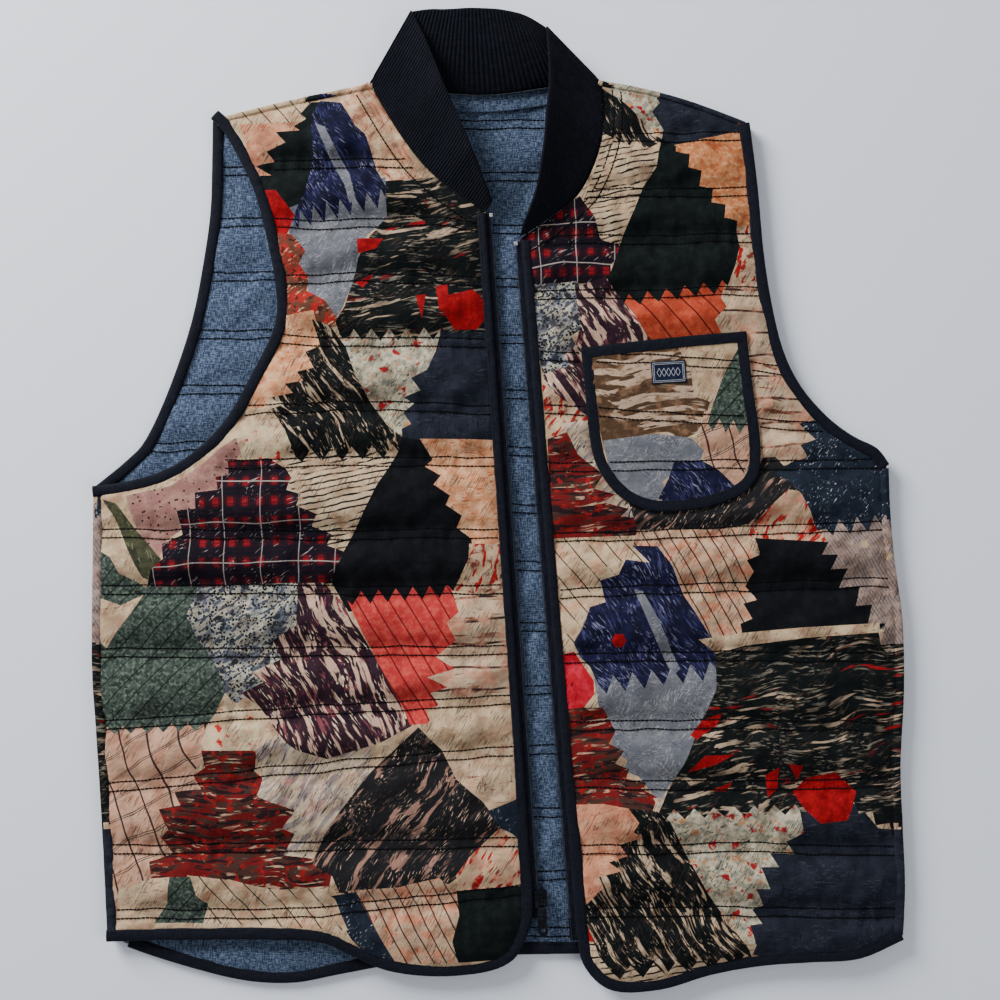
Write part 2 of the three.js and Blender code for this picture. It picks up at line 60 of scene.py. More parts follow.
# ---------------------------------------------------------------- measures of the garment
BODY_WIDTH = 605
BODY_LENGTH = 733
CENTRE = np.array([-0.274, 1.420])  # from the garment's drawing centre to the frame's origin
BINDING = 8.6
FRONT_BINDING = 6.6
SIDE_SEAM = 7.0
SHOULDER_SEAM = 4.0
POCKET_BINDING = 8.2
RIB_THICKNESS = 3.0
RIB_PITCH = 2.6
POINTS_PER_RIB = 7
COIL_RADIUS = 1.0
COIL_PITCH = 1.4
TAPE_SHOWN = 2.9
TAPE_SEWN = 4.2
PAIR = 6.5  # between the two rows of each quilting pair
LABEL = (26, 17)
LABEL_TILT = 0.06  # radians
EDGE_STEP = 1.6  # between the cross sections of a bound edge
STITCH_INSET = 1.6  # from a binding's inner side to its stitches
SEAM_REACH = 6.5  # a shoulder seam's run past the neck, so that the collar hides its end
BLEED = 0.9  # how far each print runs under its neighbours
LIFT = 4.0  # how far the loose lower part of a front stands off the back
PUFF = 6.2  # how far a front swells between its quilting rows
FOLD_WIDTH = 0.045  # metres, how far a front's bend reaches beside its fold axis
SAME_PLACE = 0.4  # points closer than this are one corner

# Heights, floor upwards, as in the frame
BACK_BINDING_Z = (0, 5.0)
FRONT_BINDING_Z = (6.0, 11.0)
POCKET_BINDING_Z = (10.5, 12.3)
SEAM_Z = (0, 10.2)
TAPE_Z = 7.5
TAPE_THICKNESS = 0.6
COIL_Z = 7.8

# The camera and the studio, in metres, degrees, screen colours and watts
CAMERA_AIM, CAMERA_AWAY, CAMERA_TILT, CAMERA_LENS = (0.0023, -0.005, 0.008), 1.04, 4, 50
FLOOR_COLOUR, FLOOR_SIZE, FLOOR_DROP = (236, 241, 251), 4, 0.0005
SKY_COLOUR, SKY = (0.93, 0.96, 1.0, 1), 0.4
LIGHTS = [("key", (-1.5, 1.5, 1.05), 1.2, 100), ("fill", (1.7, -0.8, 1.8), 1.8, 14)]


def unit(rows):
    """Each row as a vector of length 1."""
    return rows / np.linalg.norm(rows, axis=1)[:, None]


def drift(*place):
    """Soft noise from -1 to 1 at a place in three dimensions."""
    return noise.noise(Vector(place))


def at(u, v):
    """A place from shares of the half width and half length, in millimetres."""
    return np.array([u * BODY_WIDTH / 2, v * BODY_LENGTH / 2]) + CENTRE


def spline(points, steps):
    """A smooth line through all the points."""
    p = np.array(points, float)
    last = len(p) - 1
    made = []
    for t in np.linspace(0, last, last * steps + 1):
        i = min(int(t), last - 1)
        w = t - i
        a, b, c, d = p[max(i - 1, 0)], p[i], p[i + 1], p[min(i + 2, last)]
        made.append(0.5 * (2 * b + (c - a) * w + (2 * a - 5 * b + 4 * c - d) * w * w
                           + (3 * b - a - 3 * c + d) * w ** 3))
    return np.array(made)


def line(*places):
    """A smooth line through places given as shares of the half width and half length."""
    return spline([at(u, v) for u, v in places], 4)


def lengths_along(path):
    """How far along a line each of its points lies."""
    return np.concatenate([[0], np.cumsum(np.linalg.norm(np.diff(path, axis=0), axis=1))])


def even(path, spacing):
    """The same line with points this far apart."""
    s = lengths_along(path)
    wanted = np.linspace(0, s[-1], max(2, int(round(s[-1] / spacing)) + 1))
    return np.stack([np.interp(wanted, s, path[:, k]) for k in range(path.shape[1])], axis=1)


def left_of(path):
    """Unit vectors to the left of a line, in the plane."""
    step = unit(np.gradient(path[:, :2], axis=0))
    return np.stack([-step[:, 1], step[:, 0]], axis=1)


def shifted(path, distance):
    """A line moved to its left."""
    return path + left_of(path) * distance


def outline(*edges):
    """One closed outline from lines that run on from each other."""
    points = []
    for edge in edges:
        for p in edge:
            if not points or np.linalg.norm(points[-1] - p) > SAME_PLACE:
                points.append(p)
    if np.linalg.norm(points[0] - points[-1]) < SAME_PLACE:
        points.pop()
    return np.array(points)


NECK_BACK = line((0.269, 0.859), (0.133, 0.84), (-0.016, 0.824), (-0.165, 0.83), (-0.326, 0.853))
SHOULDER = {"left": line((-0.326, 0.853), (-0.534, 0.816), (-0.72, 0.777)),
            "right": line((0.638, 0.769), (0.504, 0.812), (0.38, 0.842), (0.269, 0.859))}
SIDE = {"left": line((-1, 0.011), (-0.998, -0.14), (-0.995, -0.345), (-0.983, -0.468),
                     (-0.968, -0.611), (-0.955, -0.754), (-0.943, -0.902)),
        "right": line((0.985, -0.898), (0.993, -0.795), (0.99, -0.668), (0.988, -0.55),
                      (1, -0.406), (1, -0.263), (0.983, -0.14), (0.975, -0.038), (0.973, 0.056))}
ARMHOLE_BACK = {"left": line((-0.72, 0.777), (-0.72, 0.699), (-0.722, 0.589), (-0.737, 0.484),
                             (-0.765, 0.355), (-0.817, 0.218), (-0.874, 0.11), (-0.923, 0.064),
                             (-1, 0.011)),
                "right": line((0.973, 0.056), (0.926, 0.081), (0.879, 0.101), (0.814, 0.14),
                              (0.747, 0.206), (0.7, 0.29), (0.673, 0.392), (0.656, 0.503),
                              (0.643, 0.634), (0.638, 0.769))}
HEM_BACK = line((-0.943, -0.902), (-0.834, -0.934), (-0.695, -0.967), (-0.591, -0.984),
                (-0.487, -0.986), (-0.388, -0.971), (-0.239, -0.949), (-0.066, -0.934),
                (0.133, -0.93), (0.38, -0.926), (0.703, -0.914), (0.985, -0.898))
ARMHOLE = {"left": line((-0.72, 0.777), (-0.688, 0.75), (-0.643, 0.685), (-0.606, 0.617),
                        (-0.576, 0.525), (-0.554, 0.433), (-0.553, 0.345), (-0.613, 0.236),
                        (-0.678, 0.142), (-0.76, 0.075), (-0.834, 0.04), (-0.918, 0.02),
                        (-1, 0.011)),
           "right": line((0.973, 0.056), (0.943, 0.089), (0.884, 0.114), (0.822, 0.153),
                         (0.757, 0.216), (0.713, 0.294), (0.685, 0.398), (0.668, 0.503),
                         (0.656, 0.634), (0.638, 0.769))}
NECK = {"left": line((-0.029, 0.578), (-0.11, 0.621), (-0.177, 0.668), (-0.234, 0.726),
                     (-0.276, 0.781), (-0.326, 0.853)),
        "right": line((0.269, 0.859), (0.276, 0.781), (0.259, 0.699), (0.212, 0.617),
                      (0.143, 0.568), (0.063, 0.523))}
CHAIN = {"left": (at(-0.014, 0.578), at(0.105, -0.855)),  # a zip side's top and foot
         "right": (at(0.048, 0.518), at(0.182, -0.9))}
OUTWARD = {"left": -1, "right": 1}  # which way the cloth lies from its zip
SIDES = tuple(OUTWARD)
CHAIN_OFFSET = TAPE_SHOWN + 0.3 + COIL_RADIUS  # cloth edge to coil line


def chain_axes(side):
    """Unit vectors down a zip line and from it towards its cloth."""
    top, foot = CHAIN[side]
    down = (foot - top) / np.linalg.norm(foot - top)
    return down, np.array([-down[1], down[0]]) * OUTWARD[side]


def beside(side, share):
    """The cloth edge beside a zip line."""
    top, foot = CHAIN[side]
    return top + (foot - top) * share + chain_axes(side)[1] * CHAIN_OFFSET


HEM_LEFT = [(-0.943, -0.902), (-0.784, -0.898), (-0.586, -0.896), (-0.432, -0.9),
            (-0.358, -0.924), (-0.264, -0.957), (-0.147, -0.969), (-0.029, -0.961),
            (0.04, -0.937), (0.074, -0.89)]
HEM_RIGHT = [(0.216, -0.955), (0.281, -0.996), (0.398, -0.994), (0.517, -0.967),
             (0.638, -0.949), (0.757, -0.941), (0.879, -0.934), (0.985, -0.898)]
EDGE = {"left": spline([at(u, v) for u, v in HEM_LEFT]
                       + [beside("left", s) for s in (0.985, 0.9, 0.7, 0.45, 0.2, 0)], 5),
        "right": spline([beside("right", s) for s in (0, 0.2, 0.45, 0.7, 0.9, 0.995)]
                        + [at(u, v) for u, v in HEM_RIGHT], 5)}
POCKET_TOP = line((0.621, 0.329), (0.415, 0.313), (0.209, 0.294))
POCKET_SIDES = line((0.209, 0.294), (0.217, 0.222), (0.234, 0.087), (0.264, 0.026),
                    (0.309, -0.015), (0.368, -0.038), (0.44, -0.042), (0.522, -0.032),
                    (0.599, -0.009), (0.641, 0.026), (0.653, 0.075), (0.648, 0.138),
                    (0.636, 0.206), (0.621, 0.329))

BACK = outline(SHOULDER["left"], ARMHOLE_BACK["left"], SIDE["left"], HEM_BACK, SIDE["right"],
               ARMHOLE_BACK["right"], SHOULDER["right"], NECK_BACK)
FRONT = {"left": outline(SHOULDER["left"], ARMHOLE["left"], SIDE["left"], EDGE["left"],
                         NECK["left"]),
         "right": outline(EDGE["right"], SIDE["right"], ARMHOLE["right"], SHOULDER["right"],
                          NECK["right"])}
POCKET = outline(POCKET_SIDES, POCKET_TOP)

# Quilting: the line midway between the two rows of each pair, in millimetres
ROWS_LEFT = [[(-170, 250), (-50, 252)],
             [(-176, 206), (-118, 204), (-60, 207), (-8, 202)],
             [(-190, 161), (-100, 163), (-5, 160)],
             [(-172, 117), (-117, 114), (-38, 114), (0, 114)],
             [(-190, 63), (-117, 65), (3, 63)],
             [(-204, 22), (-72, 24), (6, 23)],
             [(-303, -30), (-147, -31), (7, -30)],
             [(-300, -72), (-147, -72), (9, -72)],
             [(-300, -119), (-147, -118), (12, -117)],
             [(-299, -173), (-147, -162), (14, -153)],
             [(-297, -219), (-147, -204), (16, -190)],
             [(-294, -263), (-147, -260), (21, -257)],
             [(-289, -309), (-147, -308), (-57, -299), (23, -291)]]
ROWS_RIGHT = [[(78, 271), (192, 273)],
              [(70, 228), (195, 230)],
              [(42, 192), (196, 194)],
              [(20, 150), (202, 153)],
              [(28, 105), (155, 98), (222, 92)],
              [(32, 64), (245, 50)],
              [(36, 20), (300, 22)],
              [(40, -33), (150, -30), (302, -23)],
              [(41, -75), (302, -66)],
              [(44, -123), (180, -121), (308, -122)],
              [(48, -173), (180, -171), (308, -174)],
              [(53, -214), (180, -216), (305, -213)],
              [(56, -263), (180, -261), (303, -264)],
              [(60, -309), (180, -307), (300, -309)]]
ROWS_BACK = [[(-310, y), (-150, y + 3), (0, y - 2), (150, y + 2), (310, y)]
             for y in (286, 245, 205, 163, 119, 77, 34, -9, -53, -98, -145, -189, -235, -281,
                       -322)]


def pairs(midlines):
    """Both rows of each quilting pair."""
    made = []
    for number, points in enumerate(midlines):
        smooth = even(spline(points, 6), 7)
        for place in (0.5, -0.5):
            wander = [1.5 * drift(x / 30, number * 3.1, 0)
                      + 0.8 * drift(x / 15, number, place * 4) for x, _ in smooth]
            made.append(smooth + np.stack([np.zeros(len(smooth)),
                                           np.array(wander) + place * PAIR], axis=1))
    return made


def saw(teeth, depth):
    """Marks a toothed edge between the points before and after it in a print's outline."""
    return ("saw", teeth, depth)


# Prints of the patchwork, each a name from PRINTS and its outline in millimetres from the
# drawing centre. A later one lies over an earlier one.
LEFT_PATCHES = [
    ('cream_slash', [(-206, 291), (-176, 294), (-147, 304), (-134, 300), (-147, 288), (-145, 279),
        (-194, 276)]),
    ('salmon', [(-195, 279), (-147, 280), (-153, 273), (-165, 272), (-159, 264), (-174, 258),
        (-168, 251), (-182, 247), (-171, 240), (-176, 229), (-185, 249)]),
    ('blackgreen', [(-141, 297), (-131, 298), (-131, 207), (-155, 205), (-176, 226), (-179, 240),
        (-170, 241), (-182, 247), (-168, 251), (-174, 258), (-159, 264), (-167, 272), (-149, 273),
        (-153, 277), (-144, 283), (-148, 288)]),
    ('tanstreak', [(-120, 296), (-99, 316), (-89, 300), (-69, 264), (-63, 245), (-45, 233), (-72, 232),
        (-84, 237), (-90, 245), (-96, 260), (-107, 277), (-113, 288)]),
    ('floral', [(-119, 130), (-36, 130), (-45, 105), (-51, 90), (-63, 84), (-56, 75), (-69, 70),
        (-61, 66), (-69, 59), (-63, 50), (-70, 46), (-70, 38), (-84, 48), (-98, 67), (-110, 91)]),
    ('slate', [(-39, 130), (-3, 130), (5, 37), (-70, 37), (-70, 46), (-63, 50), (-69, 59), (-61, 66),
        (-69, 70), (-56, 75), (-63, 84), (-51, 90), (-45, 105)]),
    ('brush', [(-84, 234), (-72, 235), (-39, 240), (-2, 220), (-3, 121), (-38, 120), saw(6, 9),
        (-117, 118), (-120, 127), (-113, 138), (-108, 156), (-104, 175), (-96, 190), (-85, 208)]),
    ('lilac', [(-158, 214), (-84, 237), (-84, 208), (-98, 195), (-105, 177), (-110, 155), (-116, 138),
        (-121, 129), (-129, 141), (-141, 151), (-144, 162), (-150, 172), (-145, 181), (-156, 193)]),
    ('indigo', [(-134, 298), (-119, 296), (-113, 286), (-108, 277), (-100, 270), (-96, 258), (-92, 244),
        (-84, 229), (-84, 223), saw(7, 13), (-155, 206), (-144, 226), (-138, 256), (-140, 286)]),
    ('lilac', [(-137, 280), (-131, 276), (-122, 258), (-112, 240), (-107, 220), (-110, 218),
        (-114, 232), (-125, 252)]),
    ('red', [(-175, 229), (-168, 228), (-154, 210), (-160, 194), (-165, 195), (-171, 215)]),
    ('brownmix', [(-165, 196), (-155, 194), (-145, 181), (-150, 172), (-143, 162), (-144, 151),
        (-129, 142), (-120, 129), (-125, 123), (-138, 129), (-158, 127), (-159, 151), (-162, 175)]),
    ('red', [(-105, 190), (-86, 190), (-91, 184), (-104, 180)]),
    ('red', [(-106, 157), (-93, 164), (-101, 154)]),
    ('red', [(-60, 147), (-54, 148), (-56, 130)]),
    ('red', [(-45, 155), (-38, 156), (-36, 136), (-42, 135)]),
    ('red', [(-35, 147), (-18, 152), (-10, 144), (-8, 133), (-15, 123), (-31, 122), (-40, 135)]),
    ('peach', [(-159, 132), (-138, 135), (-132, 110), (-143, 105), (-136, 92), (-149, 89), (-144, 82),
        (-158, 80), (-153, 73), (-170, 71), (-176, 63), (-189, 60), (-185, 76), (-173, 97)]),
    ('wavy', [(-155, 39), (-71, 42), (-73, 27), (-80, 15), (-90, 0), (-104, -29), (-113, -46),
        (-125, -43), (-138, -30), (-147, -15), (-150, -3), (-155, 10), (-170, 21), (-156, 27)]),
    ('feather', [(-138, 129), (-126, 124), (-114, 108), (-108, 91), (-96, 67), (-82, 48), (-69, 38),
        (-74, 31), saw(5, 10), (-150, 27), (-158, 39), (-167, 51), (-171, 61), (-159, 65), (-170, 70),
        (-152, 73), (-158, 80), (-144, 82), (-149, 89), (-136, 92), (-143, 105), (-132, 110)]),
    ('cream', [(-189, 61), (-171, 63), (-159, 46), (-176, 52), (-186, 50), (-197, 39)]),
    ('hexcream', [(-197, 38), (-186, 50), (-159, 46), (-154, 34), (-156, 27), (-170, 21), (-187, 21),
        (-192, 30)]),
    ('black', [(-69, 39), (-54, 37), (-47, 24), (-53, 19), (-41, 12), (-46, 5), (-34, -3), (-37, -10),
        (-25, -18), (-29, -27), (-18, -35), (-20, -51), (-30, -83), (-110, -89), (-123, -66),
        (-120, -56), (-113, -46), (-104, -29), (-90, 0), (-74, 27)]),
    ('peach', [(-57, 38), (5, 38), (7, -40), (-18, -40), (-18, -35), (-29, -27), (-25, -18), (-37, -10),
        (-34, -3), (-46, 5), (-41, 12), (-53, 19), (-47, 24)]),
    ('creamred', [(-20, -40), (7, -40), (9, -83), (-33, -81), (-31, -74), (-20, -51)]),
    ('cream', [(-303, 3), (-275, -4), (-267, -29), (-260, -51), (-252, -55), (-258, -71), (-282, -74),
        (-297, -51)]),
    ('darkgreen', [(-295, -45), (-288, -50), (-281, -62), (-267, -69), (-258, -74), (-282, -78),
        (-297, -81)]),
    ('mauve', [(-276, -4), (-243, 3), (-221, 18), (-206, 32), (-195, 39), (-192, 29), (-199, 20),
        (-201, 10), (-209, 9), (-207, 0), (-224, -2), (-223, -14), (-237, -15), (-233, -27),
        (-246, -36), (-252, -55), (-260, -51), (-267, -29)]),
    ('olive', [(-294, -6), (-285, -18), (-277, -36), (-262, -64), (-252, -68), (-249, -51), (-260, -40),
        (-270, -29), (-284, -10)]),
    ('tartan', [(-201, 22), (-171, 24), (-158, 16), (-154, 10), (-157, 0), (-146, -3), (-149, -12),
        (-134, -18), (-138, -27), (-123, -33), (-127, -41), (-113, -46), (-120, -57), (-123, -68),
        (-222, -72), (-260, -71), (-255, -59), (-246, -51), (-248, -40), (-233, -33), (-237, -15),
        (-223, -14), (-224, -2), (-207, 0), (-209, 10), (-200, 12)]),
    ('lace', [(-234, -73), (-147, -69), (-135, -78), (-147, -90), (-147, -101), (-159, -106),
        (-166, -112), (-158, -123), (-176, -135), (-170, -142), (-188, -153), (-192, -158),
        (-201, -147), (-206, -133), (-215, -123), (-222, -108), (-230, -93)]),
    ('key', [(-297, -168), (-210, -167), (-217, -186), (-212, -198), (-222, -205), (-218, -220),
        (-234, -222), (-230, -231), (-246, -235), (-239, -247), (-243, -255), (-234, -266),
        (-252, -273), (-254, -287), (-276, -315), (-288, -276), (-294, -224)]),
    ('darkgreen', [(-294, -72), (-222, -72), (-230, -93), (-222, -111), (-213, -123), (-206, -134),
        (-201, -149), (-213, -173), saw(7, 6), (-297, -177), (-299, -111)]),
    ('cream', [(-295, -80), (-279, -86), (-263, -78), (-271, -90), (-282, -104), (-290, -116),
        (-295, -111)]),
    ('aubergine', [(-147, -69), (-129, -69), (-113, -86), (-102, -104), (-87, -130), (-72, -156),
        (-63, -173), (-84, -184), (-110, -195), (-131, -199), (-147, -192), (-162, -176), (-176, -158),
        (-188, -150), (-171, -142), (-180, -135), (-158, -125), (-166, -112), (-158, -107),
        (-147, -100)]),
    ('coral', [(-110, -81), saw(6, 10), (-33, -75), (-27, -90), (-36, -98), (-29, -111), (-44, -123),
        (-30, -132), (-50, -138), (-35, -145), (-48, -150), (-41, -158), (-53, -161), (-49, -171),
        (-63, -172), (-72, -154), (-89, -123)]),
    ('stripes', [(-33, -75), (9, -80), (12, -149), (-42, -158), (-48, -150), (-35, -145), (-50, -138),
        (-30, -132), (-44, -123), (-29, -111), (-36, -98), (-27, -90)]),
    ('cream', [(-42, -157), (12, -149), (16, -188), (-41, -192), (-57, -176), (-49, -171)]),
    ('cream_lines', [(-41, -191), (16, -187), (21, -228), (-5, -236), (-17, -225), (-31, -210)]),
    ('hexcream', [(-213, -173), (-200, -157), (-185, -158), (-175, -171), (-177, -183), (-186, -193),
        (-212, -193), (-215, -183)]),
    ('pagoda', [(-216, -192), (-176, -192), (-179, -207), (-171, -213), (-176, -224), (-147, -233),
        (-156, -248), (-147, -252), (-156, -267), (-138, -270), (-120, -278), (-122, -288),
        (-165, -292), (-192, -286), (-219, -281), (-252, -283), (-254, -273), (-236, -267),
        (-245, -255), (-239, -248), (-246, -234), (-230, -231), (-236, -222), (-216, -220),
        (-222, -210), (-213, -204)]),
    ('greydiag', [(-176, -192), (-162, -181), (-147, -192), (-125, -199), (-93, -189), (-92, -209),
        (-116, -239), (-128, -255), (-137, -269), (-155, -267), (-147, -252), (-156, -248),
        (-147, -234), (-174, -224), (-171, -213)]),
    ('charcoal', [(-93, -209), (-57, -175), (-41, -192), (-30, -213), (-11, -229), (4, -248),
        (-11, -266), (-23, -278), (-35, -287), (-50, -284), (-72, -291), (-95, -296), (-114, -293),
        (-119, -281), (-134, -273), (-126, -255), (-114, -236)]),
    ('navysq', [(-6, -236), (22, -225), (25, -265), (12, -252), (4, -248)]),
    ('redstreak', [(3, -249), (12, -260), (21, -276), (22, -293), (-24, -293), (-29, -282),
        (-20, -270)]),
    ('blackgreen', [(-31, -294), (22, -291), (27, -310), (16, -330), (3, -342), (-29, -344),
        (-33, -329), (-28, -310)]),
    ('ribs', [(-108, -293), (-72, -291), (-42, -284), (-30, -294), (-28, -310), (-33, -329),
        (-28, -344), (-75, -345), (-90, -330), (-101, -310)]),
    ('navysq', [(-120, -297), (-104, -294), (-93, -314), (-75, -344), (-89, -344), (-105, -327),
        (-115, -310)]),
    ('cream_slash', [(-225, -282), (-192, -286), (-162, -293), (-131, -291), (-119, -299), (-114, -311),
        (-108, -320), (-185, -317), (-240, -315), (-215, -310), (-219, -299)]),
    ('darkgreen', [(-239, -283), (-224, -283), (-219, -299), (-212, -303), (-215, -316), (-250, -316),
        (-241, -303)]),
    ('cream_lines', [(-276, -294), (-254, -285), (-239, -283), (-242, -303), (-251, -316),
        (-278, -317)]),
]

RIGHT_PATCHES = [
    ('floral', [(79, 319), (117, 309), (125, 297), (119, 289), (128, 275), (120, 269), (105, 284),
        (91, 299)]),
    ('slate', [(117, 312), (153, 304), (199, 291), (196, 271), (164, 269), (138, 262), (126, 268),
        (128, 276), (119, 289), (125, 297)]),
    ('feather', [(81, 309), (93, 299), (112, 280), (126, 267), (114, 261), (105, 270), (99, 262),
        (91, 270), (82, 273)]),
    ('wavy', [(81, 273), (99, 263), (114, 261), (124, 259), (123, 249), (116, 237), (108, 222),
        (102, 207), (97, 195), (93, 183), (76, 186), (57, 192), (52, 202), (64, 214), (72, 234),
        (78, 252)]),
    ('tartan', [(16, 199), (43, 213), (63, 223), (73, 207), (78, 190), (93, 186), (91, 177), (85, 171),
        (86, 159), (25, 156)]),
    ('orange', [(132, 263), (165, 270), (180, 274), (192, 275), (194, 202), (181, 193), (163, 207),
        (150, 226), (138, 247)]),
    ('creamred', [(183, 201), (194, 202), (198, 174), (199, 159), (187, 156), (179, 165), (183, 181)]),
    ('creamred', [(179, 39), (198, 46), (237, 39), (239, 16), (247, -40), (190, -40), (186, 16)]),
    ('stripes', [(174, 154), (199, 160), (207, 127), (220, 97), (229, 78), (243, 54), (231, 50),
        (240, 39), (228, 34), (234, 25), (220, 21), (205, 18), (195, 7), (186, 69), (189, 121),
        (169, 119), (163, 129), (172, 139), (168, 146)]),
    ('rust', [(87, 156), (177, 168), (168, 146), (172, 139), (163, 129), (169, 119), (145, 115),
        (115, 110), (108, 117), (100, 132)]),
    ('blackgreen', [(126, 268), (136, 263), saw(5, 7), (181, 199), (183, 186), (179, 171), (174, 156),
        saw(6, 10), (90, 144), (85, 160), (91, 177), (97, 195), (105, 213), (112, 231), (122, 246),
        (124, 259)]),
    ('lace', [(25, 156), (60, 158), (67, 149), (63, 136), (66, 124), (55, 117), (60, 109), (51, 102),
        (56, 94), (45, 89), (36, 86), (31, 114)]),
    ('aubergine', [(60, 154), (82, 161), (97, 141), (117, 110), (70, 106), (69, 97), (75, 67), (73, 51),
        (48, 67), (36, 78), (36, 87), (56, 94), (52, 102), (60, 109), (64, 124)]),
    ('creamred', [(35, 81), (48, 69), (75, 51), (78, 31), (55, 50), (45, 39), (39, 39)]),
    ('greydiag', [(48, 50), (78, 54), (84, 12), (99, -8), (111, -21), (91, -20), (78, -6), (79, 12),
        (59, 27)]),
    ('pagoda', [(39, 39), (52, 43), (60, 27), (79, 12), (72, 1), (88, -3), (78, -9), (98, -14),
        (92, -20), (109, -21), (105, -34), (42, -36)]),
    ('charcoal', [(96, 1), (153, -5), (179, 9), (186, 24), (209, 25), (221, 10), (228, -1), (217, 0),
        (205, -11), (192, -23), (153, -30), (123, -34), (106, -31)]),
    ('redstreak', [(205, -11), (217, 0), (228, -1), (237, -18), (246, -39), (193, -36), (196, -21)]),
    ('gauze', [(241, -17), (301, -9), (304, -51), (306, -113), (283, -116), (288, -103), (276, -98),
        (279, -85), (265, -86), (271, -72), (255, -74), (260, -59), (248, -58), (252, -49), (240, -48),
        (246, -39)]),
    ('navysq', [(228, 51), (244, 54), (270, 33), (294, 22), (300, -21), saw(4, 12), (246, -27),
        (240, -29), (234, -14), (228, -2), (217, 9), (208, 13), (221, 21), (234, 25), (228, 34),
        (240, 39)]),
    ('cream_slash', [(42, -36), (105, -34), (103, -41), (114, -54), (94, -53), (102, -63), (84, -65),
        (94, -76), (67, -80), (78, -84), (66, -90), (72, -96), (63, -101), (67, -112), (52, -116),
        (48, -123), (45, -81)]),
    ('ribs', [(105, -30), (184, -29), (187, -41), (196, -48), (186, -52), (192, -60), (186, -71),
        (195, -81), (184, -84), (190, -95), (181, -99), (183, -112), (163, -117), (156, -108),
        (145, -90), (138, -75), (126, -52), (119, -42), (102, -41)]),
    ('black', [(192, -36), (246, -39), (240, -48), (252, -48), (247, -59), (260, -58), (254, -73),
        (270, -71), (265, -86), (278, -85), (274, -100), (288, -99), (282, -104), (228, -106),
        (198, -109), (183, -112), (181, -99), (190, -95), (184, -84), (195, -81), (186, -71),
        (192, -60), (186, -52), (196, -48)]),
    ('lilac', [(72, -137), (163, -119), (162, -146), (153, -165), (146, -183), (138, -202), (127, -217),
        (119, -229), (114, -221), (105, -210), (94, -206), (97, -198), (85, -190), (87, -179),
        (78, -171)]),
    ('indigo', [(102, -41), (119, -42), (129, -56), (138, -78), (150, -97), (163, -117), (162, -132),
        saw(6, 13), (76, -143), (70, -130), (63, -123), (58, -113), (65, -101), (70, -87), (82, -83),
        (78, -67), (91, -63), (96, -52), (114, -54)]),
    ('lilac', [(103, -73), (108, -75), (119, -96), (129, -119), (135, -132), (131, -136), (126, -126),
        (115, -102)]),
    ('red', [(86, -111), (88, -107), (93, -107), (95, -111), (93, -115), (88, -115)]),
    ('pinkred', [(45, -123), (57, -120), (71, -141), (71, -150), (63, -161), (49, -163)]),
    ('pagoda', [(48, -163), (63, -161), (78, -161), (87, -178), (82, -187), (93, -192), (86, -201),
        (97, -206), (95, -213), (110, -216), (107, -221), (117, -226), (114, -234), (53, -234)]),
    ('floral', [(115, -227), (223, -224), (225, -251), (213, -258), (220, -268), (201, -267),
        (207, -276), (194, -276), (200, -291), (190, -291), (196, -304), (188, -307), (195, -317),
        (186, -318), (190, -332), (183, -330), (169, -311), (154, -296), (139, -269), (125, -241)]),
    ('slate', [(225, -251), (222, -231), (239, -228), (264, -231), (280, -249), (304, -251),
        (303, -333), (243, -338), (198, -341), (186, -338), (190, -332), (186, -318), (195, -317),
        (188, -307), (196, -304), (190, -291), (200, -291), (194, -276), (207, -276), (201, -267),
        (220, -268), (213, -258)]),
    ('brush', [(163, -117), (183, -112), (228, -106), (282, -104), (284, -115), (306, -113),
        (306, -156), (301, -194), (304, -258), saw(3, 7), (264, -231), saw(4, 7), (222, -233),
        saw(7, 7), (119, -237), (129, -218), (139, -201), (147, -183), (155, -165), (163, -146)]),
    ('cream', [(150, -111), (183, -106), (228, -102), (283, -99), (284, -104), (228, -108), (183, -114),
        (163, -120)]),
    ('red', [(144, -181), (153, -170), (166, -165), (162, -173), (147, -183)]),
    ('red', [(141, -207), (153, -196), (174, -195), (160, -201)]),
    ('red', [(157, -222), (174, -216), (169, -221)]),
    ('red', [(199, -210), (207, -204), (206, -220), (200, -225)]),
    ('red', [(215, -201), (224, -203), (222, -213)]),
    ('red', [(228, -213), (249, -208), (264, -222), (256, -241), (237, -243), (226, -233), (219, -222)]),
    ('wavy', [(59, -306), (78, -310), (87, -329), (115, -325), (153, -330), (189, -332), (183, -348),
        (153, -357), (115, -368), (78, -370), (66, -351)]),
    ('red', [(61, -318), (76, -320), (78, -330), (63, -329)]),
    ('salmon', [(53, -232), (78, -231), (97, -234), (105, -243), (101, -250), (108, -255), (91, -261),
        (97, -269), (83, -273), (92, -279), (75, -284), (79, -291), (67, -303), (57, -306)]),
    ('feather', [(97, -234), (117, -236), (126, -243), (139, -269), (154, -296), (169, -317),
        (183, -335), (186, -342), saw(6, 10), (85, -351), (76, -340), (63, -308), (79, -291),
        (75, -284), (92, -279), (83, -273), (97, -269), (91, -261), (108, -255), (101, -250),
        (105, -243)]),
]

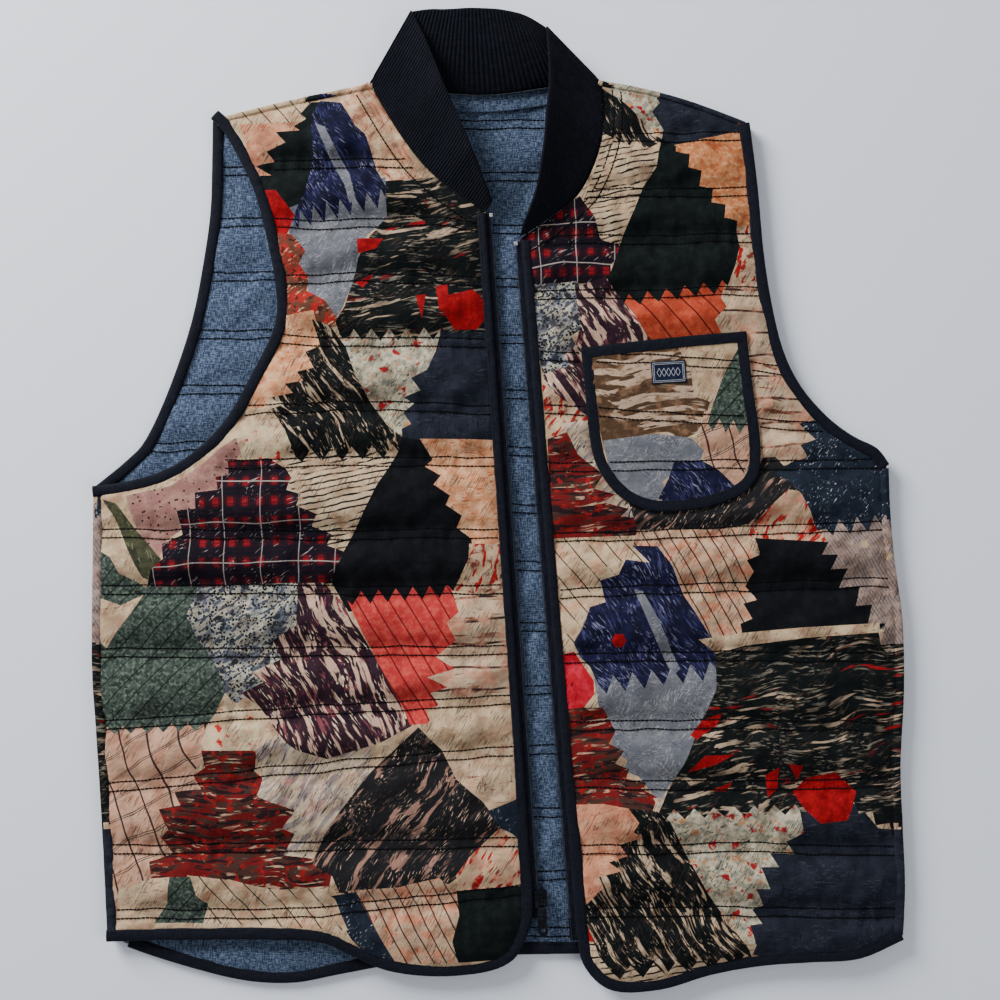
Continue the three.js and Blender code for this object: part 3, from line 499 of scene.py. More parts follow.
POCKET_PATCHES = [
    ('bands', [(70, 105), (138, 108), (145, 87), (147, 72), (160, 69), (156, 57), (153, 46), (138, 39),
        (119, 45), (80, 36), (73, 69)]),
    ('cream', [(136, 108), (181, 114), (181, 105), (168, 80), (162, 67), (147, 72), (153, 84),
        (144, 95)]),
    ('key', [(156, 60), (192, 58), (190, 31), (186, 18), (179, 3), (168, 12), (156, 24), (153, 39)]),
    ('darkgreen', [(181, 106), (187, 84), (190, 48), saw(3, 10), (159, 51), (163, 65), (171, 87)]),
    ('lilac', [(80, 37), (119, 42), (145, 39), (154, 30), (151, 21), (133, 16), (123, 7), (126, -5),
        (108, -8), (93, 1), (84, 20)]),
    ('indigo', [(133, 21), (153, 22), (165, 15), (178, 3), (160, -9), (138, -11), (121, -6), (129, 9)]),
]


# ---------------------------------------------------------------- materials
def linear(rgb):
    """A screen colour, 0 to 255, as the light it stands for."""
    return tuple(((c / 255 + 0.055) / 1.055) ** 2.4 if c > 10 else c / 255 / 12.92 for c in rgb)


class Look:
    """A material built from nodes over the cloth coordinates, which are in metres."""

    def __init__(self, name, roughness, metallic=0.0, sheen=0.0):
        self.result = bpy.data.materials.new(name)
        self.result.use_nodes = True
        self.tree = self.result.node_tree
        self.shader = self.tree.nodes["Principled BSDF"]
        self.shader.inputs["Roughness"].default_value = roughness
        self.shader.inputs["Metallic"].default_value = metallic
        self.shader.inputs["Sheen Weight"].default_value = sheen
        self.shader.inputs["Sheen Roughness"].default_value = 0.5
        self.shader.inputs["Specular IOR Level"].default_value = 0.08 if roughness > 0.6 else 0.4
        self.cloth = self.add("ShaderNodeUVMap", uv_map="cloth").outputs["UV"]

    def add(self, kind, inputs=None, **settings):
        """A node with its inputs linked or set."""
        node = self.tree.nodes.new(kind)
        for key, value in settings.items():
            setattr(node, key, value)
        for key, value in (inputs or {}).items():
            socket = node.inputs[key]
            if isinstance(value, bpy.types.NodeSocket):
                self.tree.links.new(value, socket)
            else:
                socket.default_value = value
        return node

    def swirled(self):
        """The cloth coordinates pushed about, so that painted marks run in soft curves."""
        push = self.add("ShaderNodeTexNoise", {"Vector": self.cloth, "Scale": 20,
                                               "Detail": 1.0}).outputs["Color"]
        centred = self.add("ShaderNodeVectorMath", {0: push, 1: (0.5, 0.5, 0.5)},
                           operation="SUBTRACT").outputs[0]
        moved = self.add("ShaderNodeVectorMath", {0: centred, "Scale": SWIRL},
                         operation="SCALE").outputs[0]
        return self.add("ShaderNodeVectorMath", {0: self.cloth, 1: moved},
                        operation="ADD").outputs[0]

    def place(self, angle=0.0, stretch=(1, 1), shift=0.0, painted=False):
        """The cloth coordinates turned, stretched and moved."""
        return self.add("ShaderNodeMapping", {
            "Vector": self.swirled() if painted else self.cloth,
            "Rotation": (0, 0, math.radians(angle)), "Scale": (*stretch, 1),
            "Location": (shift, shift * 0.7, 0)}, vector_type="TEXTURE").outputs["Vector"]

    def noise(self, size, detail=2.0, angle=0.0, stretch=(1, 1), shift=0.0, painted=False):
        return self.add("ShaderNodeTexNoise", {
            "Vector": self.place(angle, stretch, shift, painted), "Scale": 1 / (size * MM),
            "Detail": detail, "Roughness": 0.55}).outputs["Fac"]

    def wave(self, angle, pitch, wobble=0.0):
        return self.add("ShaderNodeTexWave", {
            "Vector": self.place(angle), "Scale": math.pi / 10 / (pitch * MM),
            "Distortion": wobble, "Detail": 2.0, "Detail Scale": 1.0,
            "Detail Roughness": 0.55}).outputs["Fac"]

    def above(self, value, edge, soft):
        """1 where a value is over an edge, 0 below, with a soft step."""
        return self.add("ShaderNodeMapRange", {
            "Value": value, "From Min": edge - soft, "From Max": edge + soft},
            interpolation_type="SMOOTHSTEP").outputs["Result"]

    def worked(self, a, b, operation):
        return self.add("ShaderNodeMath", {0: a, 1: b}, operation=operation).outputs[0]

    def times(self, a, b):
        return self.worked(a, b, "MULTIPLY")

    def plus(self, a, b):
        return self.worked(a, b, "ADD")

    def mix(self, share, a, b, blend="MIX"):
        node = self.add("ShaderNodeMix", data_type="RGBA", blend_type=blend)
        for key, value in ((0, share), (6, a), (7, b)):
            if isinstance(value, bpy.types.NodeSocket):
                self.tree.links.new(value, node.inputs[key])
            elif key == 0:
                node.inputs[key].default_value = value
            else:
                node.inputs[key].default_value = (*linear(value), 1)
        return node.outputs[2]

    def mask(self, kind, *facts):
        """Where one layer of a print shows, as the note above PRINTS says."""
        if kind == "strokes":
            angle, width, long, share = facts
            marks = self.noise(width, 2.5, angle, (long, 1), angle * 0.013 + width, True)
            drawn = self.above(marks, 0.5 + (0.5 - share) * 0.36, 0.022)
            if share > 0.3:
                return drawn
            cluster = self.noise(max(16, width * 8), 2, angle, (1.5, 1), width)
            return self.times(drawn, self.above(cluster, 0.5, 0.07))
        if kind == "lines":
            angle, pitch, share, wobble = facts
            edge = 0.5 + 0.5 * math.cos(math.pi * share)
            return self.above(self.wave(angle + 90, pitch, wobble), edge, (1 - edge) * 0.6)
        if kind == "blotch":
            size, share = facts
            soft = 0.1 if share > 0.2 else 0.03
            return self.above(self.noise(size, 3.5, 0, (1, 1), size), 0.5 + (0.5 - share) * 0.34,
                              soft)
        size, radius = facts
        off = self.add("ShaderNodeTexVoronoi", {"Vector": self.place(), "Scale": 1 / (size * MM)},
                       feature="F1").outputs["Distance"]
        return self.worked(1.0, self.above(off, radius, 0.035), "SUBTRACT")

    def finish(self, colour, grain=0.9, bump=0.5, depth=0.35, shade=0.5):
        """Worn, uneven colour, and a woven surface."""
        thread = self.noise(grain, 2, 0, (1, 2.2))
        worn = self.add("ShaderNodeMapRange", {
            "Value": self.plus(self.times(thread, 0.55), self.times(self.noise(26, 4), 0.45)),
            "From Min": 0.25, "From Max": 0.75, "To Min": 1 - shade * 0.6,
            "To Max": 1 + shade * 0.45}).outputs["Result"]
        grey = self.add("ShaderNodeCombineColor", dict.fromkeys(("Red", "Green", "Blue"), worn))
        toned = self.mix(1.0, colour, grey.outputs["Color"], "MULTIPLY")
        self.tree.links.new(toned, self.shader.inputs["Base Color"])
        weave = self.times(self.wave(0, grain), self.wave(90, grain))
        height = self.plus(self.times(weave, 0.5), self.plus(
            self.times(thread, 0.6), self.times(self.noise(8, 4, 20, (1.6, 1)), 3.4)))
        relief = self.add("ShaderNodeBump", {"Height": height, "Strength": bump,
                                             "Distance": depth * MM})
        self.tree.links.new(relief.outputs["Normal"], self.shader.inputs["Normal"])
        roughness = self.shader.inputs["Roughness"]
        varied = self.add("ShaderNodeMapRange", {
            "Value": thread, "To Min": roughness.default_value - 0.08,
            "To Max": min(1.0, roughness.default_value + 0.08)})
        self.tree.links.new(varied.outputs["Result"], roughness)
        return self.result


# Each print: its ground colour, then layers of kind, measures and colour. Angles say which way
# the marks run. strokes: angle, width, length over width, share; lines: angle, pitch, share,
# wobble; blotch: size, share; dots: pitch, radius over pitch. Sizes are in millimetres.
PRINTS = {
    "cream": ((206, 180, 146), [("blotch", 13, 0.4, (184, 152, 122)),
                                ("strokes", 10, 2.2, 5, 0.1, (150, 118, 96))]),
    "blackgreen": ((14, 19, 20), [("blotch", 8, 0.4, (21, 27, 27))]),
    "black": ((14, 15, 19), [("blotch", 9, 0.4, (20, 21, 25))]),
    "red": ((150, 16, 23), [("blotch", 6, 0.45, (124, 12, 20)),
                            ("strokes", 40, 1.2, 4, 0.12, (176, 40, 44))]),
    "pinkred": ((172, 18, 36), [("blotch", 9, 0.4, (190, 44, 62)),
                                ("strokes", 60, 2, 6, 0.14, (110, 14, 28))]),
    "rust": ((160, 58, 38), [("blotch", 7, 0.45, (176, 74, 50)),
                             ("strokes", -48, 1.2, 3, 0.2, (134, 44, 32)),
                             ("lines", -50, 13, 0.09, 0.25, (84, 24, 20))]),
    "coral": ((176, 50, 50), [("blotch", 5, 0.45, (192, 74, 66)),
                              ("strokes", -60, 1.0, 3, 0.2, (168, 44, 48)),
                              ("lines", -58, 10.5, 0.1, 0.3, (108, 22, 28))]),
    "salmon": ((202, 134, 104), [("blotch", 12, 0.45, (214, 158, 124)),
                                 ("strokes", 8, 1.4, 6, 0.24, (186, 108, 82))]),
    "peach": ((214, 146, 104), [("blotch", 7, 0.5, (228, 176, 136)),
                                ("strokes", 0, 1.6, 5, 0.2, (184, 104, 68))]),
    "lilac": ((98, 100, 108), [("blotch", 14, 0.45, (112, 113, 119)),
                               ("strokes", 60, 0.8, 9, 0.27, (150, 151, 154)),
                               ("strokes", 12, 0.8, 9, 0.24, (140, 141, 146)),
                               ("strokes", -30, 0.9, 8, 0.24, (76, 77, 86))]),
    "indigo": ((27, 27, 58), [("blotch", 9, 0.5, (19, 20, 38)),
                              ("strokes", -62, 1.6, 9, 0.28, (60, 60, 100)),
                              ("strokes", -48, 1.0, 10, 0.2, (118, 118, 148))]),
    "slate": ((36, 39, 50), [("blotch", 12, 0.48, (28, 31, 41)),
                             ("strokes", 5, 1.1, 9, 0.24, (52, 55, 66)),
                             ("strokes", 92, 1.0, 9, 0.24, (22, 24, 34))]),
    "aubergine": ((50, 30, 40), [("blotch", 10, 0.45, (38, 24, 34)),
                                 ("strokes", -62, 4.6, 7, 0.33, (192, 158, 138)),
                                 ("strokes", -66, 2.4, 7, 0.24, (120, 62, 70)),
                                 ("strokes", -58, 1.5, 7, 0.16, (226, 206, 176))]),
    "darkgreen": ((66, 75, 69), [("blotch", 5, 0.5, (40, 52, 46)),
                                 ("blotch", 2.6, 0.3, (98, 110, 98)),
                                 ("lines", 47, 11, 0.08, 0.6, (24, 34, 32))]),
    "mauve": ((142, 100, 94), [("blotch", 9, 0.45, (162, 122, 110)),
                               ("dots", 4.2, 0.2, (34, 24, 28))]),
    "tartan": ((134, 20, 28), [("lines", 92, 11, 0.42, 0.5, (34, 16, 24)),
                               ("lines", 92, 5.5, 0.2, 0.4, (58, 14, 22)),
                               ("lines", 2, 15, 0.62, 0.5, (20, 16, 26)),
                               ("lines", 2, 3.2, 0.16, 0.4, (44, 16, 26)),
                               ("blotch", 20, 0.36, (19, 17, 26)),
                               ("lines", 2, 31, 0.026, 1.6, (158, 146, 140)),
                               ("lines", 92, 27, 0.026, 1.6, (150, 136, 132)),
                               ("strokes", 38, 1.0, 16, 0.06, (160, 150, 146))]),
    "lace": ((182, 178, 162), [("blotch", 14, 0.4, (96, 102, 114)),
                               ("dots", 2.3, 0.4, (30, 32, 38)),
                               ("strokes", 35, 2.6, 3, 0.33, (74, 80, 92)),
                               ("blotch", 8, 0.19, (44, 48, 56))]),
    "wavy": ((204, 180, 148), [("lines", 12, 4.6, 0.3, 2.8, (24, 24, 27)),
                               ("strokes", 6, 3, 7, 0.24, (204, 180, 148)),
                               ("blotch", 13, 0.26, (190, 160, 130))]),
    "feather": ((190, 166, 138), [("strokes", -56, 5.2, 9, 0.7, (14, 18, 19)),
                                  ("strokes", -62, 1.9, 9, 0.36, (22, 26, 27)),
                                  ("strokes", -50, 1.1, 7, 0.12, (188, 168, 146))]),
    "brush": ((14, 18, 19), [("blotch", 8, 0.42, (20, 24, 24)),
                             ("strokes", 8, 3.8, 9, 0.24, (176, 152, 128)),
                             ("strokes", 4, 1.6, 9, 0.24, (112, 106, 94)),
                             ("strokes", 35, 1.3, 9, 0.2, (66, 54, 46)),
                             ("strokes", 12, 5, 7, 0.06, (140, 18, 26))]),
    "floral": ((198, 186, 160), [("blotch", 5, 0.42, (140, 140, 124)),
                                 ("strokes", 40, 1.7, 2.5, 0.24, (84, 94, 80)),
                                 ("blotch", 9, 0.16, (156, 28, 36)),
                                 ("blotch", 7, 0.14, (190, 136, 96))]),
    "stripes": ((202, 176, 146), [("strokes", 3, 4.6, 9, 0.26, (128, 76, 62)),
                                  ("lines", 3, 17, 0.1, 1.6, (58, 40, 42)),
                                  ("blotch", 13, 0.34, (206, 150, 122))]),
    "bands": ((78, 58, 42), [("strokes", 3, 8, 7, 0.43, (190, 162, 138)),
                             ("strokes", 0, 2, 7, 0.22, (66, 48, 36)),
                             ("blotch", 9, 0.26, (128, 96, 72))]),
    "key": ((198, 158, 132), [("blotch", 11, 0.42, (200, 148, 122)),
                              ("lines", 30, 16, 0.12, 3.4, (54, 42, 42)),
                              ("lines", 30, 16, 0.05, 3.4, (198, 158, 132)),
                              ("lines", 112, 21, 0.07, 3.0, (54, 42, 42))]),
    "pagoda": ((104, 24, 25), [("strokes", 3, 6, 6, 0.44, (66, 42, 36)),
                               ("strokes", 2, 3.4, 8, 0.34, (38, 24, 26)),
                               ("strokes", 1, 2.2, 9, 0.2, (184, 148, 122)),
                               ("blotch", 6, 0.2, (136, 26, 26))]),
    "greydiag": ((196, 176, 150), [("strokes", 50, 3.4, 7, 0.4, (146, 134, 130)),
                                   ("strokes", 56, 1.6, 7, 0.22, (70, 64, 68)),
                                   ("strokes", 46, 2, 6, 0.16, (196, 120, 112))]),
    "charcoal": ((28, 28, 30), [("strokes", 50, 4.4, 8, 0.29, (150, 112, 98)),
                                ("strokes", 44, 1.4, 7, 0.2, (72, 62, 60)),
                                ("strokes", 58, 1.0, 9, 0.12, (196, 166, 146))]),
    "ribs": ((200, 168, 138), [("blotch", 9, 0.36, (214, 140, 108)),
                               ("lines", -62, 8.6, 0.12, 1.0, (70, 44, 42)),
                               ("strokes", -64, 1.3, 9, 0.16, (160, 104, 88))]),
    "gauze": ((152, 134, 126), [("lines", -58, 2.4, 0.4, 0.5, (118, 104, 100)),
                                ("blotch", 9, 0.36, (176, 150, 136)),
                                ("dots", 20, 0.16, (186, 160, 128))]),
    "orange": ((176, 104, 62), [("blotch", 6, 0.5, (192, 126, 84)),
                                ("blotch", 3.4, 0.26, (206, 156, 114)),
                                ("blotch", 9, 0.24, (152, 76, 44))]),
    "tanstreak": ((200, 156, 122), [("strokes", -52, 3, 7, 0.34, (190, 122, 98)),
                                    ("strokes", -48, 1.3, 8, 0.16, (120, 66, 54)),
                                    ("blotch", 12, 0.3, (224, 194, 158))]),
    "navysq": ((33, 40, 52), [("blotch", 9, 0.42, (25, 31, 43)),
                              ("strokes", 50, 1.0, 3, 0.09, (170, 174, 180))]),
    "redstreak": ((202, 170, 138), [("strokes", 62, 5, 4, 0.34, (166, 22, 28)),
                                    ("blotch", 9, 0.3, (206, 146, 118))]),
    "hexcream": ((208, 186, 152), [("blotch", 10, 0.3, (206, 172, 138)),
                                   ("blotch", 11, 0.16, (188, 40, 38))]),
    "cream_slash": ((206, 180, 146), [("blotch", 10, 0.34, (206, 160, 128)),
                                      ("lines", -50, 11, 0.08, 0.9, (44, 38, 38)),
                                      ("strokes", -40, 4, 4, 0.26, (206, 180, 146))]),
    "cream_lines": ((204, 178, 146), [("strokes", 4, 1.4, 9, 0.2, (150, 96, 80)),
                                      ("strokes", 80, 1.4, 7, 0.12, (96, 66, 60)),
                                      ("blotch", 12, 0.3, (206, 164, 132))]),
    "creamred": ((200, 172, 140), [("strokes", 70, 4, 3.5, 0.32, (164, 28, 30)),
                                   ("blotch", 7, 0.24, (120, 60, 52)),
                                   ("strokes", 10, 1.3, 7, 0.12, (92, 52, 48))]),
    "brownmix": ((92, 56, 42), [("blotch", 9, 0.44, (160, 34, 32)),
                                 ("strokes", 30, 1.8, 4, 0.22, (206, 172, 134)),
                                 ("blotch", 5, 0.2, (52, 34, 30))]),
    "olive": ((70, 72, 52), [("blotch", 8, 0.46, (48, 50, 38)),
                             ("strokes", -60, 1.4, 5, 0.14, (112, 108, 82))]),
}

# Plain goods: colour, flecks, roughness, metal, sheen, grain size, bump, depth, shade
GOODS = {
    "chambray": ((41, 54, 78), (104, 118, 140), 0.9, 0, 0.0, 0.75, 0.55, 0.3, 0.8),
    "navy_binding": ((13, 15, 25), (20, 23, 34), 0.7, 0, 0.03, 0.9, 0.6, 0.35, 0.5),
    "rib_knit": ((12, 14, 22), (19, 22, 31), 0.95, 0, 0.03, 1.2, 0.7, 0.4, 0.6),
    "zip_tape": ((15, 17, 27), (25, 28, 40), 0.8, 0, 0.0, 1.2, 0.7, 0.3, 0.5),
    "zip_coil": ((17, 19, 28), (28, 31, 42), 0.4, 0, 0.0, 1.5, 0.2, 0.1, 0.3),
    "dark_metal": ((26, 28, 34), (44, 46, 54), 0.24, 0.85, 0.0, 2.0, 0.2, 0.08, 0.3),
    "pale_metal": ((206, 206, 204), (170, 170, 168), 0.35, 0.7, 0.0, 2.0, 0.2, 0.1, 0.3),
    "woven_label": ((14, 20, 40), (24, 32, 56), 0.7, 0, 0.05, 0.8, 0.7, 0.3, 0.5),
    "thread": ((7, 7, 10), (12, 13, 17), 0.75, 0, 0.0, 0.8, 0.3, 0.1, 0.4),
    "binding_thread": ((8, 9, 15), (16, 18, 27), 0.75, 0, 0.0, 0.8, 0.3, 0.1, 0.4),
    "label_thread": ((176, 180, 190), (150, 154, 164), 0.6, 0, 0.1, 0.8, 0.3, 0.1, 0.3),
}
PALE = 400  # a ground over this, red, green and blue together, gets blotches of grime and painted shade
GRIME_AND_SHADE = (158, 136, 128)
SCRATCH = (58, 44, 42)
SWIRL = 0.022  # metres, how far painted marks are pushed about
MADE = {}


def printed(name):
    """A print of the patchwork: its ground, then its layers of marks."""
    ground, layers = PRINTS[name]
    look = Look(name, roughness=0.86)
    colour = look.mix(0.0, ground, ground)
    for kind, *facts, tint in layers:
        colour = look.mix(look.mask(kind, *facts), colour, tint)
    if sum(ground) > PALE:
        # Brown blotches multiplied over pale grounds: grime, and painted patchy shade on the creams
        grime_and_shade = look.above(look.noise(11, 6, 30, (1.5, 1), 0.2), 0.53, 0.11)
        colour = look.mix(look.times(grime_and_shade, 0.55), colour, GRIME_AND_SHADE, "MULTIPLY")
        scratch = look.above(look.noise(1.0, 2, 62, (10, 1)), 0.57, 0.03)
        scratch = look.times(scratch, look.above(look.noise(18, 2), 0.5, 0.06))
        colour = look.mix(look.times(scratch, 0.7), colour, SCRATCH)
    return look.finish(colour, bump=0.75, depth=0.5)


def plain(name):
    """Goods of one colour, with flecks along both threads."""
    colour, fleck, roughness, metal, sheen, grain, bump, depth, shade = GOODS[name]
    look = Look(name, roughness, metal, sheen)
    warp = look.noise(grain, 2, 0, (1, 6))
    weft = look.noise(grain, 2, 0, (6, 1), 0.3)
    share = look.above(look.times(look.plus(warp, weft), 0.5), 0.52, 0.09)
    return look.finish(look.mix(share, colour, fleck), grain, bump, depth, shade)


def material(name):
    """The material of this name, made on its first use."""
    if name not in MADE:
        MADE[name] = printed(name) if name in PRINTS else plain(name)
    return MADE[name]


def unfold(corners):
    """A print's outline with its toothed edges worked out, in the frame."""
    made = []
    for i, corner in enumerate(corners):
        if corner[0] != "saw":
            made.append(np.array(corner, float) + CENTRE)
            continue
        a = made[-1]
        b = np.array(corners[(i + 1) % len(corners)], float) + CENTRE
        _, teeth, depth = corner
        along = (b - a) / np.linalg.norm(b - a)
        across = np.array([along[1], -along[0]]) * depth / 2
        for k in range(teeth):
            made.append(a + (b - a) * (k + 0.25) / teeth + across)
            made.append(a + (b - a) * (k + 0.75) / teeth - across)
    return np.array(made)


def grown(shape, by):
    """A closed outline moved outwards by this much."""
    x, y = shape[:, 0], shape[:, 1]
    turn = np.sign(np.sum(x * np.roll(y, -1) - np.roll(x, -1) * y))
    step = np.roll(shape, -1, axis=0) - np.roll(shape, 1, axis=0)
    step /= np.maximum(np.linalg.norm(step, axis=1)[:, None], 1e-6)
    return shape + np.stack([step[:, 1], -step[:, 0]], axis=1) * turn * by


# ---------------------------------------------------------------- flat geometry
def inside(points, polygon):
    """Which points lie inside a closed outline."""
    x, y = points[:, 0], points[:, 1]
    hit = np.zeros(len(points), bool)
    for (ax, ay), (bx, by) in zip(polygon, np.roll(polygon, -1, axis=0)):
        if ay != by:
            hit ^= ((ay > y) != (by > y)) & (x < (bx - ax) * (y - ay) / (by - ay) + ax)
    return hit


def distance_to(points, paths):
    """Each point's distance to the nearest of some lines."""
    best = np.full(len(points), 1e9)
    for path in paths:
        for a, b in zip(path[:-1, :2], path[1:, :2]):
            d = b - a
            t = np.clip(((points - a) @ d) / max(d @ d, 1e-9), 0, 1)
            gap = points - a - t[:, None] * d
            best = np.minimum(best, np.einsum("ij,ij->i", gap, gap))
    return np.sqrt(best)


def closed(polygon):
    """A closed outline as a line that ends where it starts."""
    return np.vstack([polygon, polygon[:1]])


def smooth(t):
    """0 to 1 with soft ends."""
    t = np.clip(t, 0, 1)
    return t * t * (3 - 2 * t)


def rim_share(points, shape, clear, reach):
    """0 within this distance of an outline's edge, towards 1 further in."""
    return 1 - np.exp(-np.maximum(distance_to(points, [closed(shape)]) - clear, 0) / reach)


def rough(points, size, seed, stretch=(1, 1)):
    """Soft noise from -1 to 1 over a place, with lumps about this many millimetres across."""
    sx, sy = size * stretch[0], size * stretch[1]
    return np.array([drift(x / sx, y / sy, seed * 7.3) for x, y in points[:, :2]])


def cut(shape, prints, spacing):
    """A cut piece as triangles about this large, with every print edge on triangle edges.

    Returns the points, the triangles, and each triangle's print.
    """
    fixed, edges = [], []
    for loop in [shape] + [printed_shape for _, printed_shape in prints]:
        ring = even(closed(loop), spacing)[:-1] if loop is shape else fine_ring(loop, spacing)
        first, count = len(fixed), len(ring)
        fixed += list(ring)
        edges += [(first + i, first + (i + 1) % count) for i in range(count)]
    tree = kdtree.KDTree(len(fixed))
    for i, p in enumerate(fixed):
        tree.insert((p[0], p[1], 0), i)
    tree.balance()
    low, high = shape.min(axis=0), shape.max(axis=0)
    rows = np.arange(low[1], high[1], spacing * 0.866)  # the height of even triangles
    grid = np.array([(x + (j % 2) * spacing / 2, y) for j, y in enumerate(rows)
                     for x in np.arange(low[0], high[0], spacing)])
    grid = grid[inside(grid, shape)]
    clear = [p for p in grid if tree.find((p[0], p[1], 0))[2] > spacing * 0.5]
    flat, _, faces, *_ = delaunay_2d_cdt([Vector(p) for p in fixed + clear], edges, [], 0,
                                         1e-3, False)
    flat = np.array([(v.x, v.y) for v in flat])
    faces = np.array(faces)
    faces = faces[inside(flat[faces].mean(axis=1), shape)]
    names = print_at(flat[faces].mean(axis=1), prints)
    used, faces = np.unique(faces, return_inverse=True)
    return flat[used], faces.reshape(-1, 3), names


def fine_ring(loop, spacing):
    """A closed outline with points added to its long sides."""
    made = []
    for a, b in zip(loop, np.roll(loop, -1, axis=0)):
        parts = max(1, int(np.linalg.norm(b - a) / spacing))
        made += [a + (b - a) * k / parts for k in range(parts)]
    return made


def print_at(points, prints):
    """The print that lies on top at each point, over a cream ground."""
    names = np.full(len(points), "cream", dtype=object)
    for name, shape in prints:
        names[inside(points, shape)] = name
    return names


# ---------------------------------------------------------------- mesh building
def put(name, data):
    """An object in the scene."""
    thing = bpy.data.objects.new(name, data)
    bpy.context.scene.collection.objects.link(thing)
    return thing


def tube(rings, around, inward=False):
    """Faces that join rings of points into a closed tube, wound one way or the other."""
    faces = []
    for i in range(rings - 1):
        for k in range(around):
            a, b = i * around + k, i * around + (k + 1) % around
            c, d = b + around, a + around
            faces.append((a, b, c, d) if inward else (a, d, c, b))
    first, last = tuple(range(around)), tuple(range((rings - 1) * around, rings * around))
    return faces + ([first[::-1], last] if inward else [first, last[::-1]])


def build(name, points, faces, looks, which=None, uv=None):
    """A mesh object from millimetre points, with its looks and its cloth coordinates."""
    mesh = bpy.data.meshes.new(name)
    points = np.asarray(points, float)
    mesh.from_pydata((points * MM).tolist(), [], [list(map(int, f)) for f in faces])
    for look in looks:
        mesh.materials.append(material(look))
    if which is not None:
        mesh.polygons.foreach_set("material_index", np.asarray(which, np.int32))
    mesh.polygons.foreach_set("use_smooth", [True] * len(mesh.polygons))
    layer = mesh.uv_layers.new(name="cloth")
    corner = np.empty(len(mesh.loops), np.int32)
    mesh.loops.foreach_get("vertex_index", corner)
    uv = points[:, :2] if uv is None else np.asarray(uv, float)
    layer.data.foreach_set("uv", (uv[corner] * MM).astype(np.float32).ravel())
    mesh.update()
    return put(name, mesh)


def slab(name, shape, prints, spacing, top, bottom, plain_look, printed_below=False):
    """A piece of quilted cloth: one face printed, the other plain, and navy walls between, whose dark
    colour also paints the shade in the seam where a front meets the collar.
    """
    flat, faces, names = cut(shape, prints, spacing)
    count = len(flat)
    points = np.vstack([np.column_stack([flat, top(flat)]), np.column_stack([flat, bottom(flat)])])
    sides = {}
    for a, b, c in faces:
        for edge in ((a, b), (b, c), (c, a)):
            if edge[::-1] in sides:
                del sides[edge[::-1]]
            else:
                sides[edge] = True
    walls = [(a, a + count, b + count, b) for a, b in sides]
    looks = sorted(set(names) | {plain_look, "navy_binding"})
    place = {look: i for i, look in enumerate(looks)}
    printed_face = [place[n] for n in names]
    plain_face = [place[plain_look]] * len(faces)
    which = plain_face + printed_face if printed_below else printed_face + plain_face
    # Dark navy walls: painted shade along the seam where a front's edge meets the collar
    which += [place["navy_binding"]] * len(walls)
    everything = faces.tolist() + (faces[:, ::-1] + count).tolist() + walls
    return build(name, points, everything, looks, which)


def sweep(name, path, section, looks, choose=None):
    """A strip along a line: section(i, s) gives each closed ring's (inward, height) points."""
    s = lengths_along(path)
    side = left_of(path)
    rings = [section(i, s[i]) for i in range(len(path))]
    points, uv = [], []
    for i, ring in enumerate(rings):
        for inward, height in ring:
            points.append((*(path[i] + side[i] * inward), height))
            uv.append((s[i], inward * (1 if height > ring[0][1] else -1)))
    faces = tube(len(path), len(rings[0]))
    which = None
    if choose:
        middles = np.array([np.mean([points[v][:2] for v in f], axis=0) for f in faces])
        which = [looks.index(n) for n in choose(middles)]
        uv = [p[:2] for p in points]
    return build(name, points, faces, looks, which, uv)


def follow(piece, where, replaced):
    """Puts a piece on its body, or on a front leaves it in place with its transform applied, and hides
    the frame parts it replaces.
    """
    if where in FOLD:
        start, end = FOLD[where]
        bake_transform(piece)
        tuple(start)
        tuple(end)
    else:
        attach(piece, where)
    if replaced:
        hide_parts(*replaced)


def fold_of(side):
    """Where the cloth of a front starts and ends its bend, beside the joint's axis."""
    joint = next(j for j in frame["joints"] if j["name"] == "fold_front_" + side)
    spot, axis = Vector(joint["pos_m"]), Vector(joint["axis"])
    across = axis.cross(Vector((0, 0, 1))).normalized()
    if across.x * OUTWARD[side] > 0:
        across = -across
    return tuple(spot), tuple(spot + across * FOLD_WIDTH)


# ---------------------------------------------------------------- relief of the cloth
def lift(points, side):
    """How far the loose lower part of a front stands off the back, in soft waves."""
    off_chain = distance_to(points, [np.array(CHAIN[side])])
    off_side = distance_to(points, [SIDE[side], SHOULDER[side], ARMHOLE[side]])
    free = smooth((off_chain - 8) / 50) * smooth((off_side - 5) / 60)
    waves = 0.5 + 0.9 * rough(points, 95, 3 + OUTWARD[side], (1, 0.7))
    return LIFT * free * np.clip(waves, 0, 1.4)


def channels(points, rows):
    """0 on a quilting row and a flat strip beside it, towards 1 between rows."""
    return 1 - np.exp(-(np.maximum(distance_to(points, rows) - 1.4, 0) / 7.5) ** 1.3)


def folds(points, angle, size, seed):
    """Long soft folds that run this way."""
    c, s = math.cos(math.radians(angle)), math.sin(math.radians(angle))
    return rough(points[:, :2] @ np.array([[c, -s], [s, c]]), size, seed, (4, 1))


def open_share(points):
    """1 where the back lies open to view, less under the fronts."""
    over = inside(points, FRONT["left"]) | inside(points, FRONT["right"])
    near = distance_to(points, [closed(FRONT["left"]), closed(FRONT["right"])])
    return np.where(over, 0.2, np.clip(near / 14, 0.2, 1))


def creases(points, rows, seed):
    """Gathers beside the rows and soft wrinkles between them."""
    near = np.exp(-distance_to(points, rows) / 11)
    gathers = rough(points, 6.5, seed, (1, 4)) + 0.6 * rough(points, 3.4, seed + 1, (1, 4))
    return (1.9 * gathers * near + 2.2 * rough(points, 38, seed + 2, (1.3, 0.8))
            + 1.3 * rough(points, 15, seed + 3, (1, 1.5))
            + 1.8 * folds(points, 35, 13, seed + 4))


